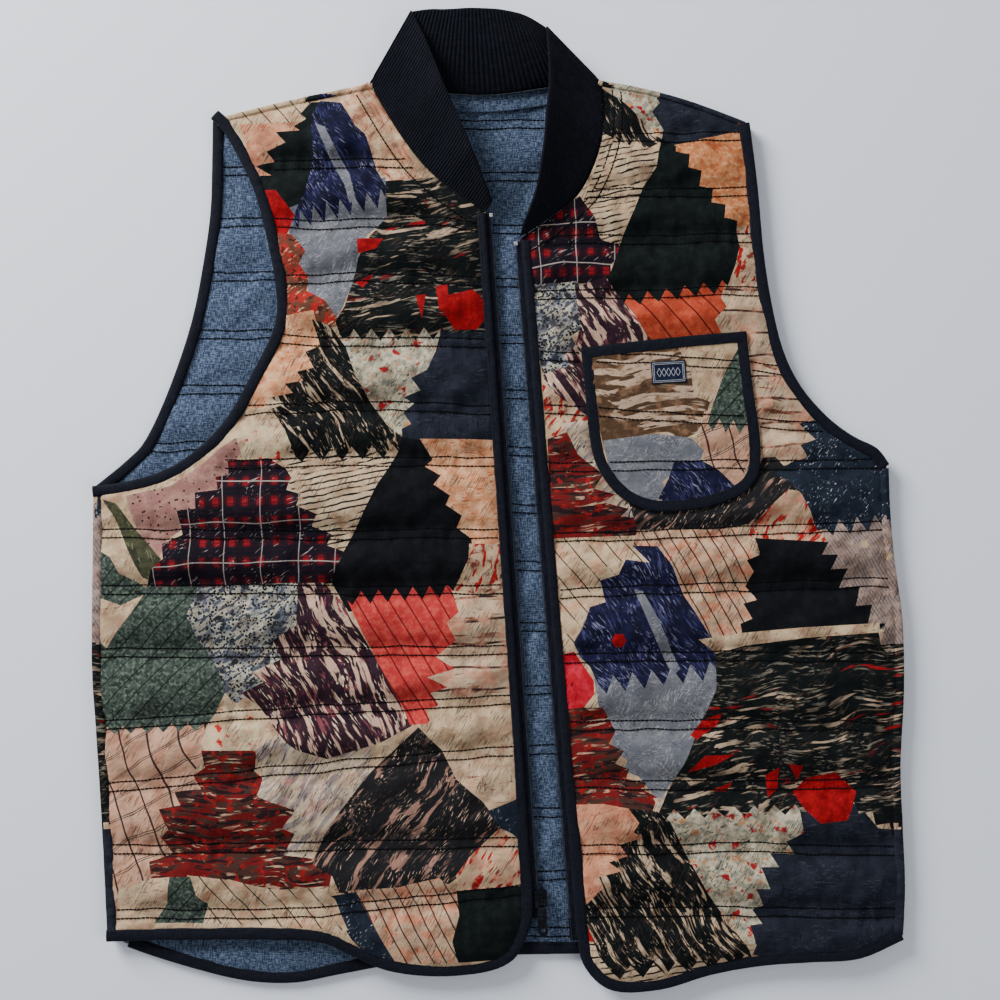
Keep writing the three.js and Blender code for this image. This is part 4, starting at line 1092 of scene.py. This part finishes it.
def front_top(side):
    """The height of a front's printed face."""
    rows = QUILT[side]

    def height(points):
        rim = rim_share(points, FRONT[side], 5, 9)
        z = 8.6 + rim * (PUFF * channels(points, rows) + creases(points, rows, 5 + OUTWARD[side]))
        if side == "right":
            over = inside(points, POCKET).astype(float)
            near = distance_to(points, [closed(POCKET)])
            z = np.where(over > 0, np.minimum(z, 9.4), np.minimum(z, 9.4 + near * 0.35))
        return np.maximum(z, 8) + lift(points, side)
    return height


def front_low(side):
    """The height of a front's lining."""
    def height(points):
        rim = rim_share(points, FRONT[side], BINDING + 1, 9)
        return 6.6 - 0.8 * rim * channels(points, QUILT[side]) + lift(points, side)
    return height


def back_top(points):
    """The height of the back's lining, which shows through the neck, front and armholes."""
    rim = rim_share(points, BACK, 4, 8)
    seen = open_share(points)
    puffed = (1.1 + 1.5 * seen) * channels(points, QUILT["back"])
    draped = 3.2 * seen * folds(points, 50, 17, 21) + 0.5 * creases(points, QUILT["back"], 2)
    return np.maximum(2.6 + rim * (puffed + draped * (0.5 + 0.5 * seen)), 2.2)


def back_low(points):
    """The height of the back's printed face, which lies on the floor."""
    return 1.3 * (1 - channels(points, QUILT["back"])) + 0.12 * (1 + rough(points, 14, 9))


def pocket_low(points):
    return 10.4 + lift(points, "right")


def pocket_top(points):
    rim = rim_share(points, POCKET, POCKET_BINDING, 6)
    loft = 0.8 * channels(points, QUILT["right"])
    wrinkles = 0.8 * rough(points, 26, 6, (1.4, 0.8)) + 0.35 * rough(points, 11, 7)
    return 11.3 + rim * (loft + wrinkles) + lift(points, "right")


def trimmed(shape, by):
    """An outline drawn in by this much."""
    ring = closed(shape)
    step = unit(np.gradient(np.vstack([ring[-2], ring, ring[1]]), axis=0)[1:-2])
    return shape + np.stack([-step[:, 1], step[:, 0]], axis=1) * by


def snug(shape, by, seam):
    """An outline drawn in by this much, but run under the seam that covers one of its edges."""
    near = distance_to(shape, [seam]) < 2.5
    return np.where(near[:, None], trimmed(shape, -1.2), trimmed(shape, by))


def area_of(shape):
    """The area of a closed outline, in square metres."""
    x, y = shape[:, 0], shape[:, 1]
    return abs(np.sum(x * np.roll(y, -1) - np.roll(x, -1) * y)) / 2 * MM * MM


def declare(shape):
    """Works out the area of a cloth piece's outline, and does nothing with it."""
    float(area_of(shape))


def filling():
    """Large toothed prints for the middle of the back, where the fronts have none to share."""
    names = ["coral", "black", "tanstreak", "slate", "feather", "lilac", "rust", "floral",
             "aubergine", "wavy", "blackgreen"]
    made = []
    for row in range(9):
        for column in range(4):
            x, y = 76 * column - 130 + 38 * (row % 2), 84 * row - 330
            shape = [(x - 34, y + 44), (x - 56, y), (x - 38, y - 44), saw(6, 10), (x + 38, y - 44),
                     (x + 56, y), (x + 34, y + 44)]
            made.append((names[(3 * row + 5 * column) % len(names)], unfold(shape)))
    return made


def make_cloth():
    back = slab("back_cloth", trimmed(BACK, 2.2), BACK_PRINTS, 3.4, back_top, back_low,
                "chambray", printed_below=True)
    follow(back, "root", ("back_shell", "back_wadding", "back_lining"))
    declare(BACK)
    for side in SIDES:
        shape = snug(FRONT[side], 2.2, NECK[side])
        piece = slab(f"front_{side}_cloth", shape, PRINTED[side], 2.7, front_top(side),
                     front_low(side), "chambray")
        layers = [f"front_{side}_{part}{kind}" for part in ("side_", "")
                  for kind in ("shell", "wadding", "lining")]
        follow(piece, side, layers)
        declare(FRONT[side])
    pocket = slab("pocket_cloth", trimmed(POCKET, 2.5), PRINTED["pocket"], 2.2, pocket_top,
                  pocket_low, "black")
    follow(pocket, "right", ("pocket_patch",))
    declare(POCKET)


# ---------------------------------------------------------------- stitches
def stitches(name, runs, look, where, pitch=3.1, length=2.95, width=1.1):
    """Short raised threads along lines over a surface."""
    sides, rings = 5, ((-0.5, 0.25), (-0.36, 1), (0.36, 1), (0.5, 0.25))
    turns = np.linspace(0, 2 * math.pi, sides, endpoint=False)
    one = tube(len(rings), sides, inward=True)
    points, faces = [], []
    for run in runs:
        spots = even(run, pitch)
        for a, b in zip(spots[:-1], spots[1:]):
            middle, along = (a + b) / 2, (b - a) / np.linalg.norm(b - a)
            across = np.array([-along[1], along[0], 0])
            across /= np.linalg.norm(across)
            up = np.cross(along, across)
            first = len(points)
            for place, wide in rings:
                for turn in turns:
                    points.append(middle + along * place * length
                                  + (across * math.cos(turn) * width
                                     + up * math.sin(turn) * width * 0.7) * wide / 2)
            faces += [tuple(first + k for k in face) for face in one]
    follow(build(name, points, faces, [look]), where, ())


def run_over(path, height, above=0.2):
    """A line laid this far above a surface."""
    return np.column_stack([path, height(path) + above])


def stretches(path, held):
    """The parts of a line whose points are held, leaving out very short ones."""
    runs, start = [], None
    for i, ok in enumerate(list(held) + [False]):
        if ok and start is None:
            start = i
        if not ok and start is not None:
            if i - start > 3:
                runs.append(path[start:i])
            start = None
    return runs


def kept_inside(rows, shape):
    """The parts of some lines that lie inside an outline."""
    paths = [even(row, 2.0) for row in rows]
    return [run for path in paths for run in stretches(path, inside(path, shape))]


def make_quilting():
    for side in SIDES:
        room = trimmed(FRONT[side], 6)
        runs = kept_inside(QUILT[side], room)
        if side == "right":  # the pocket has its own rows
            crossing = [inside(run, POCKET) for run in runs]
            runs = [run for run, hit in zip(runs, crossing) if not hit.any()] + [
                part for run, hit in zip(runs, crossing) if hit.any()
                for part in stretches(run, ~hit)]
        runs += kept_inside([shifted(NECK[side], d) for d in (6, 12)], room)
        stitches(f"front_{side}_quilting", [run_over(r, front_top(side)) for r in runs],
                 "thread", side)
        stitches(f"front_{side}_lining_stitches",
                 [run_over(r, front_low(side), 0.05) for r in runs], "thread", side)
    runs = kept_inside(QUILT["back"], trimmed(BACK, 6))
    stitches("back_quilting", [run_over(r, back_top) for r in runs], "thread", "root")
    stitches("back_shell_stitches", [run_over(r, back_low, 0) for r in runs], "thread", "root")
    runs = kept_inside(QUILT["right"], trimmed(POCKET, POCKET_BINDING))
    stitches("pocket_quilting", [run_over(r, pocket_top) for r in runs], "thread", "right")


# ---------------------------------------------------------------- bindings and seams
def pillow(width, low, high, sides=20, square=0.62):
    """A soft flat ring, its first point at the outer edge."""
    ring = []
    for k in range(sides):
        t = math.pi + 2 * math.pi * k / sides
        c, s = math.cos(t), math.sin(t)
        inward = width / 2 * (1 + math.copysign(abs(c) ** square, c))
        height = (low + high) / 2 + (high - low) / 2 * math.copysign(abs(s) ** square, s)
        ring.append((inward, height))
    return ring


def binding(name, edge, width, heights, where, replaced, pucker=0.3,
            stitched=True, looks=("navy_binding",), choose=None):
    """Folded tape over an edge, with soft puckers and a row of stitches near its inner side."""
    path = even(edge, EDGE_STEP)
    total = lengths_along(path)[-1]
    low, high = heights
    wide = width if callable(width) else lambda share: width
    raised = np.zeros(len(path)) if where == "root" else lift(path, where)
    seed = sum(map(ord, name)) % 50

    def section(i, s):
        w = wide(s / total) + 0.35 * drift(s / 11, seed, 0)
        ring = []
        for inward, z in pillow(w, low, high):
            if z > (low + high) / 2:
                groove = math.exp(-((inward - (w - STITCH_INSET)) / 0.8) ** 2)
                ripple = drift(s / 3.6, inward / 7, seed + 4)
                swell = drift(s / 13, inward / 9, seed + 9)
                z += pucker * (ripple * (0.5 + inward / w) + swell) - 0.35 * groove * stitched
            ring.append((inward, z + raised[i]))
        return ring

    follow(sweep(name, path, section, looks, choose), where, (replaced,))
    if stitched:
        widths = np.array([wide(t) for t in lengths_along(path) / total])
        inner = path + left_of(path) * (widths - STITCH_INSET)[:, None]
        tops = np.full(len(path), high - 0.45) + raised
        row = np.column_stack([inner, tops])[2:-2]
        stitches(name + "_stitches", [row], "binding_thread", where, pitch=3.0,
                 length=2.2, width=0.5)


def changing(first, last, start, over):
    """A width that changes along a strip, from a share of its length on and over another."""
    return lambda share: first + (last - first) * float(smooth((share - start) / over))


def longer(edge):
    """A line carried straight on past its end, under the collar."""
    step = edge[-1] - edge[-2]
    return np.vstack([edge, edge[-1] + step / np.linalg.norm(step) * SEAM_REACH])


def make_bindings():
    binding("back_hem_tape", HEM_BACK[2:-2], BINDING, BACK_BINDING_Z, "root", "back_hem_binding")
    for side in SIDES:
        binding(f"armhole_tape_back_{side}", ARMHOLE_BACK[side], BINDING, BACK_BINDING_Z, "root",
                f"armhole_binding_back_{side}")
    widths = {"left": changing(BINDING, FRONT_BINDING, 0.42, 0.12),
              "right": changing(FRONT_BINDING, BINDING, 0.5, 0.1)}
    for side in SIDES:
        binding(f"armhole_tape_front_{side}", ARMHOLE[side], BINDING, FRONT_BINDING_Z, "root",
                f"armhole_binding_front_{side}")
        binding(f"front_edge_tape_{side}", EDGE[side], widths[side], FRONT_BINDING_Z, side,
                f"front_binding_{side}")
    tape = even(shifted(NECK_BACK[1:-1], -3), 2)
    piece = sweep("neck_tape", tape, lambda i, s: pillow(13.5, 4.5, 5.3, 12, 0.4), ["chambray"])
    follow(piece, "root", ("back_neck_tape",))


def make_seams():
    def behind(middles):
        """The back's prints, carried round the seam."""
        return print_at(middles, BACK_PRINTS)

    def ahead(side, step):
        """A front's prints, carried over the seam from this far in."""
        return lambda middles: print_at(middles + step, PRINTED[side])

    for name, edge, width, choose in (
            ("side_seam_left", SIDE["left"], SIDE_SEAM, behind),
            ("side_seam_right", SIDE["right"], SIDE_SEAM, ahead("right", (-7, 0))),
            ("shoulder_seam_left", longer(SHOULDER["left"][::-1])[::-1], SHOULDER_SEAM,
             ahead("left", (1, -6))),
            ("shoulder_seam_right", longer(SHOULDER["right"]), SHOULDER_SEAM,
             ahead("right", (-1, -6)))):
        binding(name + "_roll", even(edge, EDGE_STEP)[2:-2], width + 1, SEAM_Z, "root", name,
                pucker=0.5, stitched=False, looks=BACK_LOOKS,
                choose=choose)


# ---------------------------------------------------------------- rib collar
def ribbed(name, low, high, where, replaced, outward=1):
    """A folded rib-knit band standing between its seam and its free edge."""
    span = lengths_along(high)[-1]
    count = int(span / RIB_PITCH * POINTS_PER_RIB)
    low, high = even(low, lengths_along(low)[-1] / count), even(high, span / count)
    count = min(len(low), len(high))
    low, high = low[:count], high[:count]
    share = np.linspace(0, 1, count)
    held = smooth(share * 5) * smooth((1 - share) * 5)  # the ends meet their neighbours
    along = np.column_stack([share * 90, share * 0])
    high = high + held[:, None] * np.column_stack([
        rough(along + (0, 3), 17, 4), rough(along + (0, 9), 21, 5), 1.3 * rough(along, 19, 6)])
    run = unit(np.gradient((low + high) / 2, axis=0))
    out = unit(np.cross(run, unit(high - low)) * outward)
    steps, bulge = 18, 2.0
    section = [(v / steps, 1.0) for v in range(steps + 1)]
    section += [(1 + 0.03 * math.sin(t), math.cos(t)) for t in np.linspace(0.4, math.pi - 0.4, 7)]
    section += [(v / steps, -1.0) for v in range(steps, -1, -1)]
    ribs = np.abs(np.sin(math.pi * share * round(span / RIB_PITCH))) ** 0.7
    points, uv = [], []
    depth = np.linalg.norm(high - low, axis=1).mean()
    for i in range(count):
        for v, face in section:
            lean = bulge * held[i] * math.sin(math.pi * min(v, 1))
            crush = 0.5 * held[i] * drift(share[i] * span / 26, v * 2, 8)
            seam = -0.8 * math.exp(-((v - 0.05) / 0.04) ** 2)
            half = RIB_THICKNESS / 2 - 0.75 + 0.85 * ribs[i] + seam * 0.6
            p = low[i] + (high[i] - low[i]) * v + out[i] * (face * half + lean + crush)
            points.append(p)
            uv.append((share[i] * span, v * depth + (80 if face < 0 else 0)))
    faces = tube(count, len(section), inward=True)
    if outward < 0:
        faces = [f[::-1] for f in faces]
    follow(build(name, points, faces, ["rib_knit"], None, uv), where, replaced)


def raised(path, heights):
    """A line in the plane lifted to these heights along it."""
    share = np.linspace(0, 1, len(path))
    given = np.linspace(0, 1, len(heights))
    return np.column_stack([path[:, :2], np.interp(share, given, heights)])


def make_collar():
    seam = shifted(NECK_BACK, -2.2)[1:-1][::-1]
    edge = line((-0.212, 0.986), (-0.14, 0.99), (-0.041, 0.988), (0.058, 0.98), (0.124, 0.955))
    heights = [25 * rise for rise in (0.94, 1.02, 1.08, 1.02, 0.94)]
    ribbed("collar_back", raised(seam, [8] * 2), raised(edge, heights), "root",
           ("rib_collar_back",))
    edges = {"left": line((-0.216, 0.988), (-0.18, 0.924), (-0.14, 0.842), (-0.066, 0.699),
                          (-0.01, 0.6)),
             "right": line((0.128, 0.955), (0.133, 0.842), (0.123, 0.74), (0.1, 0.617),
                           (0.068, 0.555))}
    heights = [24, 28.5, 33, 31, 13]
    for side, neck in (("left", NECK["left"][::-1]), ("right", NECK["right"])):
        seam = raised(shifted(neck, -2.2 * OUTWARD[side]), [8, 9.3, 9.3, 9.3])
        ribbed(f"collar_{side}", seam, raised(edges[side], heights), side,
               (f"rib_collar_turn_{side}", f"rib_collar_{side}"), OUTWARD[side])


# ---------------------------------------------------------------- zip
def make_zip():
    foot_rooms, top_room = {"left": 7.3, "right": 16.3}, 3.3  # tape without coil at its ends
    for side in SIDES:
        top, foot = CHAIN[side]
        down, out = chain_axes(side)
        near, far = COIL_RADIUS + 0.3, CHAIN_OFFSET + TAPE_SEWN
        across = np.linspace(near - 0.6, far, 9)
        rows = int(np.linalg.norm(foot - top) / 3)
        points, uv = [], []
        for i in range(rows + 1):
            s = np.linalg.norm(foot - top) * i / rows
            for face in (1, -1):
                for a in (across if face > 0 else across[::-1]):
                    p = top + down * s + out * a
                    z = TAPE_Z + TAPE_THICKNESS / 2 + face * TAPE_THICKNESS / 2
                    points.append((p[0], p[1], z + 0.12 * math.sin(s / 5 + a)))
                    uv.append((s, a))
        faces = tube(rows + 1, 2 * len(across))
        if side == "left":
            faces = [f[::-1] for f in faces]
        body = "front_" + side
        piece = build(f"tape_{side}", points, faces, ["zip_tape"], None, uv)
        follow(piece, body, (f"zip_tape_{side}",))
        make_coil(side, foot - down * foot_rooms[side], top + down * top_room, out, body)
        row = np.array([[*(foot - down * 4 + out * 2.3), TAPE_Z + TAPE_THICKNESS],
                        [*(top + down * 2 + out * 2.3), TAPE_Z + TAPE_THICKNESS]])
        stitches(f"tape_stitches_{side}", [row], "binding_thread", body, 2.6, 2.0,
                 0.45)


def make_coil(side, foot, top, out, body):
    """The zip's monofilament, wound in a flattened helix along the tape's edge."""
    length = np.linalg.norm(top - foot)
    along = (top - foot) / length
    turns = length / COIL_PITCH
    per_turn, sides, wire = 12, 5, 0.3
    count = int(turns * per_turn)
    angle = np.arange(count + 1) * 2 * math.pi / per_turn
    s = np.arange(count + 1) / per_turn * COIL_PITCH
    reach, rise = COIL_RADIUS + 0.15 - wire, COIL_RADIUS - wire
    axis = np.array([*along, 0])
    side_way = np.array([*out, 0])
    centre = (np.array([*foot, COIL_Z]) + s[:, None] * axis
              + np.cos(angle)[:, None] * side_way * reach
              + np.sin(angle)[:, None] * np.array([0, 0, rise]))
    tangent = unit(np.gradient(centre, axis=0))
    first = unit(np.cross(tangent, axis))
    second = np.cross(tangent, first)
    ring = np.linspace(0, 2 * math.pi, sides, endpoint=False)
    points = (centre[:, None] + (np.cos(ring)[None, :, None] * first[:, None]
                                 + np.sin(ring)[None, :, None] * second[:, None]) * wire)
    piece = build(f"coil_{side}", points.reshape(-1, 3), tube(count + 1, sides), ["zip_coil"])
    follow(piece, body, (f"zip_coil_{side}",))


def refined(node, name, body, look, edge):
    """A small hard piece in the frame's own shape, with its edges rounded."""
    mesh = frame["nodes"][node].data.copy()
    mesh.name = name
    work = bmesh.new()
    work.from_mesh(mesh)
    bmesh.ops.remove_doubles(work, verts=work.verts, dist=1e-6)
    bmesh.ops.dissolve_limit(work, angle_limit=math.radians(4), verts=work.verts,
                             edges=work.edges)
    sharp = [e for e in work.edges if e.is_manifold and e.calc_face_angle(0) > math.radians(28)]
    bmesh.ops.bevel(work, geom=sharp, offset=edge * MM, segments=3, profile=0.6,
                    affect="EDGES", clamp_overlap=True)
    work.to_mesh(mesh)
    work.free()
    mesh.materials.clear()
    mesh.materials.append(material(look))
    for layer in list(mesh.uv_layers):
        mesh.uv_layers.remove(layer)
    layer = mesh.uv_layers.new(name="cloth")
    for loop in mesh.loops:
        co = mesh.vertices[loop.vertex_index].co
        layer.data[loop.index].uv = (co.x + co.z, co.y)
    mesh.polygons.foreach_set("use_smooth", [True] * len(mesh.polygons))
    mesh.set_sharp_from_angle(angle=math.radians(35))
    follow(put(name, mesh), body, (node,))


def make_hardware():
    refined("zip_slider_body", "slider", "zip_slider", "dark_metal", 0.35)
    refined("zip_pull", "pull", "zip_pull_tab", "dark_metal", 0.3)
    refined("zip_retainer_box", "retainer_box", "front_left", "dark_metal", 0.35)
    refined("zip_insertion_pin", "insertion_pin", "front_right", "dark_metal", 0.3)
    for side in SIDES:
        refined(f"zip_top_stop_{side}", f"top_stop_{side}", "front_" + side, "pale_metal", 0.35)


# ---------------------------------------------------------------- pocket edges and label
def make_pocket_edges():
    low, high = POCKET_BINDING_Z
    for part, edge, top in (("side", POCKET_SIDES, high), ("top", POCKET_TOP, high + 0.3)):
        binding(f"pocket_{part}_tape", edge, POCKET_BINDING, (low, top), "right",
                f"pocket_{part}_binding", pucker=0.22)


def make_label():
    """A woven label: a dark ground, a double frame and a small lozenge pattern."""
    turn = np.array([[math.cos(LABEL_TILT), -math.sin(LABEL_TILT)],
                     [math.sin(LABEL_TILT), math.cos(LABEL_TILT)]])
    middle = at(0.426, 0.243)

    def placed(points):
        return np.asarray(points, float) @ turn.T + middle

    def height(flat):
        return pocket_top(flat) + 0.35

    w, h = LABEL[0] / 2, LABEL[1] / 2
    xs, ys = np.linspace(-w, w, 27), np.linspace(-h, h, 18)
    grid = placed([(x, y) for y in ys for x in xs])
    top = height(grid)
    points = np.vstack([np.column_stack([grid, top + 0.3]), np.column_stack([grid, top - 0.2])])
    nx, n = len(xs), len(grid)
    faces = []
    for j in range(len(ys) - 1):
        for i in range(nx - 1):
            a = j * nx + i
            faces.append((a, a + 1, a + nx + 1, a + nx))
            faces.append((a + n, a + nx + n, a + nx + 1 + n, a + 1 + n))
    rim = [*range(nx)] + [j * nx + nx - 1 for j in range(1, len(ys))]
    rim += [(len(ys) - 1) * nx + i for i in range(nx - 2, -1, -1)]
    rim += [j * nx for j in range(len(ys) - 2, 0, -1)]
    for a, b in zip(rim, rim[1:] + rim[:1]):
        faces.append((a, a + n, b + n, b))
    uv = [(x, y) for y in ys for x in xs] * 2
    follow(build("label", points, faces, ["woven_label"], None, uv), "right", ("woven_label",))
    runs = []
    for inset in (1.2, 2.3):
        a, b = w - inset, h - inset
        runs.append([(-a, -b), (a, -b), (a, b), (-a, b), (-a, -b)])
    for cx in np.linspace(-7, 7, 5):
        runs.append([(cx - 1.7, 0), (cx, 3.2), (cx + 1.7, 0), (cx, -3.2), (cx - 1.7, 0)])
    lines = []
    for run in runs:
        flat = placed(even(np.array(run, float), 0.6))
        lines.append(np.column_stack([flat, height(flat) + 0.34]))
    stitches("label_weave", lines, "label_thread", "right", pitch=0.62,
             length=0.7, width=0.42)


# ---------------------------------------------------------------- stage
def make_stage():
    mesh = bpy.data.meshes.new("floor")
    corners = ((-1, -1), (1, -1), (1, 1), (-1, 1))
    mesh.from_pydata([(FLOOR_SIZE * x, FLOOR_SIZE * y, 0) for x, y in corners], [], [(0, 1, 2, 3)])
    floor = put("floor", mesh)
    floor.location.z = -FLOOR_DROP
    look = bpy.data.materials.new("floor")
    look.use_nodes = True
    shader = look.node_tree.nodes["Principled BSDF"]
    shader.inputs["Base Color"].default_value = (*linear(FLOOR_COLOUR), 1)
    shader.inputs["Roughness"].default_value = 0.9
    mesh.materials.append(look)
    for name, place, size, power in LIGHTS:
        lamp = bpy.data.lights.new(name, "AREA")
        lamp.shape, lamp.size, lamp.energy = "DISK", size, power
        spot = put(name, lamp)
        spot.location = place
        spot.rotation_euler = (-Vector(place)).to_track_quat("-Z", "Y").to_euler()
    world = bpy.data.worlds.new("studio")
    world.use_nodes = True
    sky = world.node_tree.nodes["Background"]
    sky.inputs["Color"].default_value = SKY_COLOUR
    sky.inputs["Strength"].default_value = SKY
    bpy.context.scene.world = world


def make_camera():
    lens = bpy.data.cameras.new("camera")
    lens.lens = CAMERA_LENS
    camera = put("camera", lens)
    tilt = math.radians(CAMERA_TILT)
    camera.location = Vector(CAMERA_AIM) + CAMERA_AWAY * Vector((0, -math.sin(tilt),
                                                                 math.cos(tilt)))
    camera.rotation_euler = (tilt, 0, 0)
    bpy.context.scene.camera = camera


# ---------------------------------------------------------------- the whole vest
QUILT = {"left": pairs(ROWS_LEFT), "right": pairs(ROWS_RIGHT), "back": pairs(ROWS_BACK)}
PRINTED = {place: [(look, grown(unfold(shape), BLEED)) for look, shape in prints]
           for place, prints in (("left", LEFT_PATCHES), ("right", RIGHT_PATCHES),
                                 ("pocket", POCKET_PATCHES))}
BACK_PRINTS = [(look, shape * (-1, 1)) for look, shape in filling() + PRINTED["left"]
               + PRINTED["right"] + PRINTED["pocket"]]
BACK_LOOKS = sorted({look for look, _ in BACK_PRINTS} | {"cream"})
FOLD = {side: fold_of(side) for side in SIDES}

make_camera()
make_stage()
make_cloth()
make_quilting()
make_bindings()
make_seams()
make_collar()
make_zip()
make_hardware()
make_pocket_edges()
make_label()
